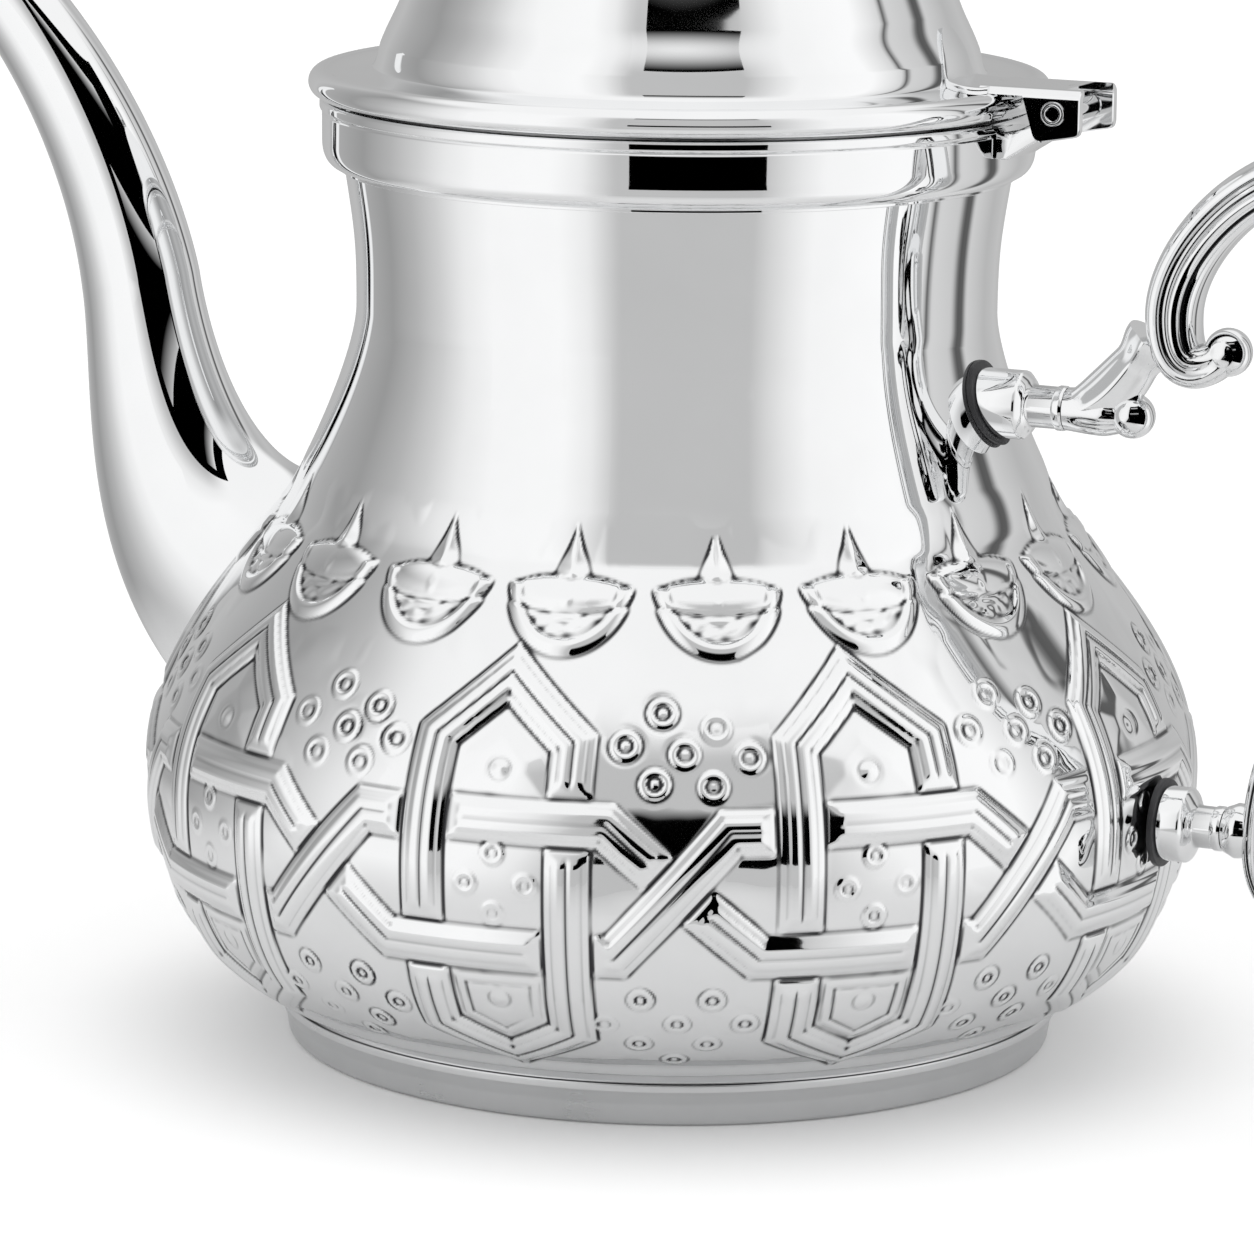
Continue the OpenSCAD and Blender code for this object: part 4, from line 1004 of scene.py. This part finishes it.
# ---------------------------------------------------------------- the lid
ROLL_END = (ROLL_X + LID_ROLL_R * math.cos(ROLL_MEET), ROLL_Z + LID_ROLL_R * math.sin(ROLL_MEET))
BELL_CREASE, BELL_FOOT = (BELL_R + 0.15, FLANGE_Z + 0.22), (BELL_R - 0.9, FLANGE_Z + 3.2)
BELL_CURVES = [
    [ROLL_END, (ROLL_X - 1.2, FLANGE_Z - 0.5), (BELL_R + 2.2, FLANGE_Z - 0.1), BELL_CREASE],
    [BELL_CREASE, (BELL_R - 0.3, FLANGE_Z + 0.75), (BELL_R - 0.6, FLANGE_Z + 1.9), BELL_FOOT],
    [BELL_FOOT, (BELL_R - 1.8, FLANGE_Z + 5.6), (FLANK_R + 0.8, FLANK_Z - 2), (FLANK_R, FLANK_Z)],
    [(FLANK_R, FLANK_Z), (FLANK_R - 6, FLANK_Z + 15), (CROWN_R + 17, CROWN_Z), (CROWN_R, CROWN_Z)],
]


def make_lid():
    """The bell, its flange and its rolled rim in one sheet, and the skirt below."""
    bell = chain(BELL_CURVES, 40)
    d = directions(bell)
    inner = bell - WALL * np.stack([d[:, 1], -d[:, 0]], -1)
    under_z = FLANGE_Z - WALL - 0.1
    keep = [tuple(p) for p in inner if p[1] > under_z + 0.3 and p[0] < BELL_R]
    roll = [(ROLL_X + LID_ROLL_R * math.cos(a), ROLL_Z + LID_ROLL_R * math.sin(a))
            for a in np.linspace(math.pi, TAU + ROLL_MEET, 34)]
    outline = roll + [tuple(p) for p in bell[1:]] + [(STUD_R, CROWN_Z), (STUD_R, CROWN_Z - WALL)]
    outline += keep[::-1] + [(BELL_R - 1.2, under_z), (ROLL_X - LID_ROLL_R, under_z)]
    lathe("lid_dome", outline, SHINE, 288, sharp=25)
    r, low = MOUTH_R - SKIRT_GAP, under_z - SKIRT_H
    skirt = rounded([(r, under_z), (r, low, 0.4), (r - WALL, low, 0.4), (r - WALL, under_z)], 5)
    lathe("lid_skirt", skirt, INNER)


def make_finial():
    """From below: the nut and washer under the crown, the stud, and the seat, disc and knob on top."""
    z = CROWN_Z
    seat = rounded([(STUD_R, z + 0.02), (CROWN_R - 0.4, z + 0.02, 0.2), (CROWN_R + 0.3, z + 0.5, 0.3),
                    (SEAT_R - 0.3, z + 0.9, 0.3), (SEAT_R, z + 1.3, 0.4), (SEAT_R - 0.5, z + 1.9, 0.4),
                    (DISC_R - 0.6, z + SEAT_H, 0.3), (STUD_R, z + SEAT_H)], 6)
    lathe("finial_seat", seat, SHINE, 96)
    z += SEAT_H
    lathe("finial_disc", band(STUD_R, DISC_R, z + 0.02, z + DISC_T, 0.3, 0.3, 5), BLACK, 96)
    z += DISC_T + 0.02
    knob = chain([
        [(5.4, 0), (5.2, 1.6), (2.9, 2.2), (3.1, 4)],
        [(3.1, 4), (3.3, 5.4), (KNOB_R, 5.6), (KNOB_R, 10.5)],
        [(KNOB_R, 10.5), (KNOB_R, 15.5), (2.2, 16.5), (1.9, 20)],
        [(1.9, 20), (1.8, 21), (2.8, KNOB_H - 3), (0, KNOB_H)]], 24)
    outline = [(STUD_R, z)] + [(r, z + h) for r, h in knob] + [(0.0, z + 10), (STUD_R, z + 10)]
    lathe("finial_knob", outline, SHINE, 96, sharp=40)
    washer_z = CROWN_Z - WALL - WASHER_T - 0.02
    washer = band(STUD_R + 0.1, WASHER_R, washer_z, washer_z + WASHER_T, 0.3, 0.2, 3)
    lathe("finial_washer", washer, STEEL, 64)
    nut_z = washer_z - NUT_H - 0.02
    v, f = hex_nut_part(NUT_R, NUT_H, STUD_R)
    solid("finial_nut", [(v + [0, 0, nut_z], f)], STEEL, 25)
    lathe("finial_stud", thread_outline(STUD_R - 0.02, nut_z - 1, z + 9), STEEL, 40, False, None, 30)


# ---------------------------------------------------------------- the hinge
def make_bracket():
    """A tapered arm from the collar, with the barrel on its end."""
    w = HINGE_W / 2 - EAR_T - EAR_GAP
    arm_z, arm_h = NECK_Z + COLLAR_H * 0.7, 1.8
    arm = rounded([(PIN_X + BARREL_R * 0.6, PIN_Z - BARREL_R * 0.8, 0.2),
                   (PIN_X - BARREL_R * 0.9, PIN_Z - BARREL_R * 0.4, 0.2), (LID_R + 0.4, LID_Z - 1.4, 0.6),
                   (COLLAR_R - 0.4, arm_z + arm_h), (COLLAR_R - 0.4, arm_z - arm_h),
                   (COLLAR_R + 1.2, arm_z - arm_h, 0.5)], 5)
    bore, edge = PIN_R + PIN_PLAY, BARREL_R - 0.15
    tube = [(bore, -w), (edge, -w), (BARREL_R, -w + 0.15), (BARREL_R, w - 0.15), (edge, w), (bore, w)]
    barrel = lathe_across(tube, 48, (PIN_X, 0, PIN_Z), True)
    solid("hinge_bracket", [slab(arm, -w, w, 0.3), barrel], HINGE, 30)


def channel_ring(x, inner_y, low, inset):
    """One half of the channel's section at x, as a closed ring of (y, z): outside, lower rim, inside."""
    h, top, bend = HINGE_W / 2 - inset, LEAF_TOP - inset, BEND_R - inset
    angles = np.linspace(0, math.acos(max(0.0, min(1.0, (low - top + bend) / bend))), 9)
    across, downward = np.linspace(0, 1, 6)[:-1], (0.35, 0.7, 1.0)
    out = [(inner_y + (h - bend - inner_y) * t, top) for t in across]
    out += [(h - bend + bend * math.sin(a), top - bend + bend * math.cos(a)) for a in angles]
    foot = min(out[-1][1], top - bend)
    has_ear = low < foot - 0.4
    ear = [foot + (low + 0.2 - foot) * t for t in downward]
    out += [(h, z) if has_ear else out[-1] for z in ear]
    thick = [LEAF_T + (EAR_T - LEAF_T) * math.sin(a) - 2 * inset for a in angles]
    inside = [(h - bend + (bend - t) * math.sin(a), top - bend + (bend - t) * math.cos(a))
              for a, t in zip(angles, thick)]
    down = [(h - thick[-1], z) if has_ear else inside[-1] for z in ear]
    rim = [(out[-1][0] - 0.2, low), (down[-1][0] + 0.2, low)] if has_ear else [out[-1], down[-1]]
    back = [(inner_y + (inside[0][0] - inner_y) * t, inside[0][1]) for t in across]
    ring = out + rim + down[::-1] + inside[::-1] + back[::-1]
    return np.array([(x, y, z) for y, z in ring])


def make_leaf():
    """A strip with a round end on the lid, bent down behind the rim into two ears with rounded corners."""
    low = LEAF_TOP - EAR_H
    front, toe, strip_end = PIN_X - EAR_L * 0.54, PIN_X - EAR_L * 0.3, PIN_X + 1.2
    ear = [(front, LEAF_Z), (toe - 0.1, low, 1.3), (EAR_REAR, low + 1.1, 1.1), (EAR_REAR, LEAF_Z)]
    rim = rounded(ear, 10)
    xs = [np.linspace(ROLL_X - 2, front, 6), np.linspace(front, EAR_REAR - 0.16, 44)[1:], [strip_end] * 2]
    rings, cut = [], False
    for x in np.sort(np.concatenate(xs)):
        z = LEAF_Z if x <= front else float(np.interp(x, rim[:, 0], rim[:, 1]))
        rings.append(channel_ring(x, HINGE_W / 2 - BEND_R - 0.3 if cut else 0.0, z, 0.0))
        cut = cut or x >= strip_end
    rings.append(channel_ring(EAR_REAR, HINGE_W / 2 - BEND_R - 0.2, low + 1.9, 0.16))
    half, faces = capped(np.stack(rings))
    solid("hinge_leaf", [spoon(), (half, faces), (half * [1, -1, 1], faces)], HINGE, 24)


def make_pin():
    """A rivet with a turned ring on each head and a hollow end."""
    tip = HINGE_W / 2 + 0.3
    head = PIN_HEAD_R
    outline = [
        (0.0, -tip + 1.1), (PIN_R * 0.8, -tip + 1.1), (PIN_R * 0.88, -tip + 0.06), (PIN_R * 0.93, -tip),
        (PIN_R * 1.05, -tip), (PIN_R * 1.1, -tip + 0.05), (PIN_R * 1.14, -tip + 0.2),
        (head - 0.2, -tip + 0.2), (head - 0.15, -tip + 0.05), (head - 0.1, -tip), (head - 0.04, -tip),
        (head, -tip + 0.06), (head, -tip + 0.28), (PIN_R, -tip + 0.28)]
    outline += [(r, -y) for r, y in reversed(outline)]
    solid("hinge_pin", [lathe_across(outline, 48, (PIN_X, 0, PIN_Z))], HINGE, 30)


def spoon():
    """The leaf's round end, which lies on the lid's flange and climbs its bell."""
    bell = chain(BELL_CURVES, 30)
    rows, cols = 30, 40
    top, low = [], []
    inner_edge = LID_R - LEAF_REACH
    round_r = HINGE_W / 2
    xs = inner_edge + (ROLL_X - 0.6 - inner_edge) * (1 - np.cos(np.linspace(0.1, 1, rows) * math.pi / 2))
    for x in xs:
        away = min(x - inner_edge - round_r, 0.0)
        half = math.sqrt(max(round_r**2 - away**2, 0.01))
        for t in np.linspace(-1, 1, cols):
            y = half * math.sin(t * math.pi / 2)
            z = float(np.interp(-math.hypot(x, y), -bell[:, 0], bell[:, 1]))
            top.append((x, y, z + LEAF_T * (1 - 0.5 * abs(t) ** 10)))
            low.append((x, y, z + 0.02))
    n = rows * cols
    faces = []
    for i in range(rows - 1):
        for j in range(cols - 1):
            a = i * cols + j
            faces.append([a, a + 1, a + cols + 1, a + cols])
            faces.append([n + a, n + a + cols, n + a + cols + 1, n + a + 1])
    last = (rows - 1) * cols
    edge = list(range(cols)) + [i * cols + cols - 1 for i in range(1, rows)]
    edge += [last + j for j in range(cols - 2, -1, -1)] + [i * cols for i in range(rows - 2, 0, -1)]
    for a, b in zip(edge, edge[1:] + edge[:1]):
        faces.append([a, n + a, n + b, b])
    return np.array(top + low), faces


# ---------------------------------------------------------------- the studio
VIEW_AZIMUTH, VIEW_RISE, VIEW_ROLL = math.radians(25), math.radians(11.05), math.radians(0.7)
VIEW_TARGET, VIEW_DISTANCE = Vector((0, 0, 60)), 848.5
FOCAL_PX, FRAME_PX, SENSOR = 6229.2, 1254, 36.0
TARGET_PX = (672.9, 595.4)


def make_camera():
    """The photograph's camera, turned so that VIEW_TARGET lies at TARGET_PX of the frame."""
    flat = math.cos(VIEW_RISE)
    back = Vector((math.sin(VIEW_AZIMUTH) * flat, -math.cos(VIEW_AZIMUTH) * flat, math.sin(VIEW_RISE)))
    right = Vector((math.cos(VIEW_AZIMUTH), math.sin(VIEW_AZIMUTH), 0))
    up = back.cross(right)
    tx, ty = (TARGET_PX[0] - FRAME_PX / 2) / FOCAL_PX, (FRAME_PX / 2 - TARGET_PX[1]) / FOCAL_PX
    forward = (-back - tx * right - ty * up).normalized()
    side = forward.cross(up).normalized()
    top = side.cross(forward)
    c, s = math.cos(VIEW_ROLL), math.sin(VIEW_ROLL)
    side, top = side * c + top * s, top * c - side * s
    data = bpy.data.cameras.new("camera")
    data.sensor_width = SENSOR
    data.lens = FOCAL_PX / FRAME_PX * SENSOR
    data.clip_start, data.clip_end = 0.05, 50
    camera = bpy.data.objects.new("camera", data)
    turn = Matrix((side, top, -forward)).transposed().to_4x4()
    camera.matrix_world = Matrix.Translation((VIEW_TARGET + back * VIEW_DISTANCE) * MM) @ turn
    bpy.context.scene.collection.objects.link(camera)
    bpy.context.scene.camera = camera


# Brightness of the studio round the pot, by degrees from the camera's side, positive to its right.
ROUND = [
    (-180, 0.45), (-152, 0.52), (-137, 0.42), (-119, 0.34), (-103, 0.48), (-90, 0.66), (-78, 0.88),
    (-66, 1.0), (-40, 1.02), (-30, 0.9), (-24, 0.7), (-19, 0.55), (25, 0.55), (31, 0.7), (38, 0.85),
    (46, 0.98), (80, 1.05), (90, 0.85), (95, 0.72), (97, 0.12), (100, 0.7), (112, 0.62), (116, 0.1),
    (120, 0.12), (123, 0.66), (140, 0.5), (155, 0.55), (180, 0.45)]
CEILING = 0.98
# The share of the ceiling in a direction, by the direction's height.
CEILING_RISE = [(0.0, 0.0), (0.6, 0.0), (0.8, 1.0), (1.0, 1.0)]


def studio_colour(n, way):
    """Brightness of the studio in the direction way from the pot: bands round it, and the ceiling."""
    feeds = {"Vector": way, "Angle": math.pi / 2 - VIEW_AZIMUTH}
    turned = n.add("VectorRotate", feeds, rotation_type="Z_AXIS").outputs[0]
    split = n.add("SeparateXYZ", {0: n.add("VectorMath", {0: turned}, operation="NORMALIZE").outputs[0]})
    angle = n.math("ARCTAN2", split.outputs["Y"], split.outputs["X"])
    share = n.spread(angle, 0, 1, -math.pi, math.pi)
    around = n.ramp(share, [((a + 180) / 360, v) for a, v in ROUND], "LINEAR")
    high = n.ramp(split.outputs["Z"], CEILING_RISE, "EASE")
    return n.mix("RGBA", high, around, (CEILING, CEILING, CEILING, 1))


def make_world():
    """The studio for the metal, and plain white for the camera."""
    n = Nodes("studio", bpy.data.worlds, "OutputWorld")
    bpy.context.scene.world = n.owner
    room = n.add("Background", {"Color": studio_colour(n, n.add("TexCoord").outputs["Generated"])})
    white = n.add("Background", {"Color": (1, 1, 1, 1)})
    n.surface(n.blend(n.add("LightPath").outputs["Is Camera Ray"], room.outputs[0], white.outputs[0]))


# White added to the floor for the camera, beside the foot and further out, and the metres where it changes.
# Less of it beside the foot keeps the floor darker round the pot: a painted shadow over the real one.
LIFT_NEAR, LIFT_FAR = 0.1, 0.33
LIFT_FROM, LIFT_TO = 0.05, 0.09
# Metres from the axis. In the metal the floor shows up to the first, and the studio from the second.
FLOOR_NEAR, FLOOR_FAR = 0.13, 0.235
FLOOR_COLOUR, FLOOR_HALF, FLOOR_DROP = (0.93, 0.93, 0.93, 1), 4.0, 0.0001


def stage_mesh(name, points, faces, material, drop=0.0):
    """A piece of the studio, in metres."""
    mesh = bpy.data.meshes.new(name)
    mesh.from_pydata(points, [], faces)
    mesh.materials.append(material)
    obj = bpy.data.objects.new(name, mesh)
    obj.location = (0, 0, -drop)
    bpy.context.scene.collection.objects.link(obj)
    return obj


def make_floor():
    """A white floor. In the metal it shows the pot's shadow near the foot, and fades into the studio."""
    n = Nodes("floor")
    path = n.add("LightPath").outputs
    away = n.add("VectorMath", {0: n.place}, operation="LENGTH").outputs["Value"]
    # Painted shadow: less white beside the foot than further out.
    lift = n.spread(away, LIFT_NEAR, LIFT_FAR, LIFT_FROM, LIFT_TO, interpolation_type="SMOOTHSTEP")
    lift = n.math("MULTIPLY", lift, n.spread(n.noise(6, 2), 0.98, 1.02))
    feeds = {"Color": (1, 1, 1, 1), "Strength": n.math("MULTIPLY", path["Is Camera Ray"], lift)}
    diffuse = n.add("BsdfDiffuse", {"Color": FLOOR_COLOUR})
    plain = n.add("AddShader", {0: diffuse.outputs[0], 1: n.add("Emission", feeds).outputs[0]})
    studio = n.add("Emission", {"Color": studio_colour(n, n.place)})
    fade = n.spread(away, 0, 1, FLOOR_NEAR, FLOOR_FAR, interpolation_type="SMOOTHSTEP")
    n.surface(n.blend(n.math("MULTIPLY", path["Is Glossy Ray"], fade), plain.outputs[0], studio.outputs[0]))
    h = FLOOR_HALF
    stage_mesh("floor", [(-h, -h, 0), (h, -h, 0), (h, h, 0), (-h, h, 0)], [(0, 1, 2, 3)], n.owner, FLOOR_DROP)


def studio_point(degrees, distance, z):
    """A place in metres, by degrees from the camera's side, positive to its right."""
    a = VIEW_AZIMUTH + math.radians(degrees)
    return (distance * math.sin(a), -distance * math.cos(a), z)


# The dark cards: their edges in degrees from the camera's side, and their rows and fades in metres.
LEFT_SIDES, FRONT_SIDES, RIGHT_SIDES, FAR_SIDES = (-22.0, -15.0), (-15.0, 27.0), (27.0, 62.0), (-66.0, -38.0)
CARD_AWAY, CARD_STEPS = 0.75, 22
CARD_LOW, CARD_HIGH, CARD_TOP = 0.02, 0.36, 1.1
FRONT_FADE = (0.26, 0.36)
LID_CARD, LID_FADE = (0.685, 0.87), (0.705, 0.87)
NEAR_FLOOR, FAR_FLOOR = (0.2, 0.001), (0.4, 0.002)


def make_card(name, sides, rows, lit, fade=None):
    """A card that only mirrors see: the studio's own brightness to the pieces in lit, black to the others.

    rows are its (distance, height) places. Between the two heights of fade it thins out to nothing. No card
    may stand behind a thinned part: it would be black to every piece.
    """
    n = Nodes(name)
    feeds = {0: n.place, 1: (0, 0, SHOULDER_Z * MM)}
    way = n.add("VectorMath", feeds, operation="SUBTRACT").outputs[0]
    shader = n.add("Emission", {"Color": studio_colour(n, way)}).outputs[0]
    if fade:
        height = n.add("SeparateXYZ", {0: n.place}).outputs["Z"]
        shader = n.blend(n.spread(height, 0, 1, *fade), shader, n.add("BsdfTransparent").outputs[0])
    n.surface(shader)
    points = [studio_point(a, d, z) for d, z in rows for a in np.linspace(*sides, CARD_STEPS)]
    faces = grid_faces(len(rows), CARD_STEPS, wrap_cols=False).tolist()
    card = stage_mesh(name, points, faces, n.owner)
    card.visible_camera = False
    card.visible_diffuse = False
    card.visible_shadow = False
    card.light_linking.receiver_collection = lit


CASTINGS = ["handle_grip", "handle_upper_arm", "handle_lower_arm"]


def all_but(name, *pieces):
    """A collection of all pieces but these."""
    made = bpy.data.collections.new("lit_by_" + name)
    for piece, obj in PIECES.items():
        if piece not in pieces:
            made.objects.link(obj)
    return made


def make_cards():
    """Dark cards before the pot, each with the pieces that show it. The neck shows none of them."""
    bottom, high, top = (CARD_AWAY, CARD_LOW), (CARD_AWAY, CARD_HIGH), (CARD_AWAY, CARD_TOP)
    lid_from, lid_to = [(CARD_AWAY, z) for z in LID_CARD]
    shiny = [name for name in PIECES if name != "neck"]
    below_lid = [name for name in shiny if name != "lid_dome"]
    curved = ["spout", *CASTINGS]
    for name, sides, rows, fade, dark in (
            ("dark_front", FRONT_SIDES, [bottom, high], FRONT_FADE, below_lid),
            ("dark_floor", FRONT_SIDES, [FAR_FLOOR, bottom], None, shiny),
            ("dark_middle", FRONT_SIDES, [high, lid_from], None, curved),
            ("dark_lid", FRONT_SIDES, [lid_from, lid_to], LID_FADE, ["lid_dome", *curved]),
            ("dark_high", FRONT_SIDES, [lid_to, top], None, curved),
            ("dark_foot", FRONT_SIDES, [NEAR_FLOOR, FAR_FLOOR], None, curved),
            ("dark_left", LEFT_SIDES, [NEAR_FLOOR, bottom, top], None, curved),
            ("dark_right", RIGHT_SIDES, [NEAR_FLOOR, bottom, top], None, curved),
            ("dark_side", FAR_SIDES, [FAR_FLOOR, bottom, high], None, ["hinge_leaf", "hinge_pin"])):
        make_card(name, sides, rows, all_but(name, *dark), fade)


for make in (
        make_belly, make_neck, make_strainer, make_foot, make_collar, make_spout, make_mounts, make_grip,
        make_upper_arm, make_lower_arm, make_fixings, make_lid, make_finial, make_bracket, make_leaf,
        make_pin, make_camera, make_world, make_floor, make_cards):
    make()
bpy.context.scene.view_settings.view_transform = "Standard"
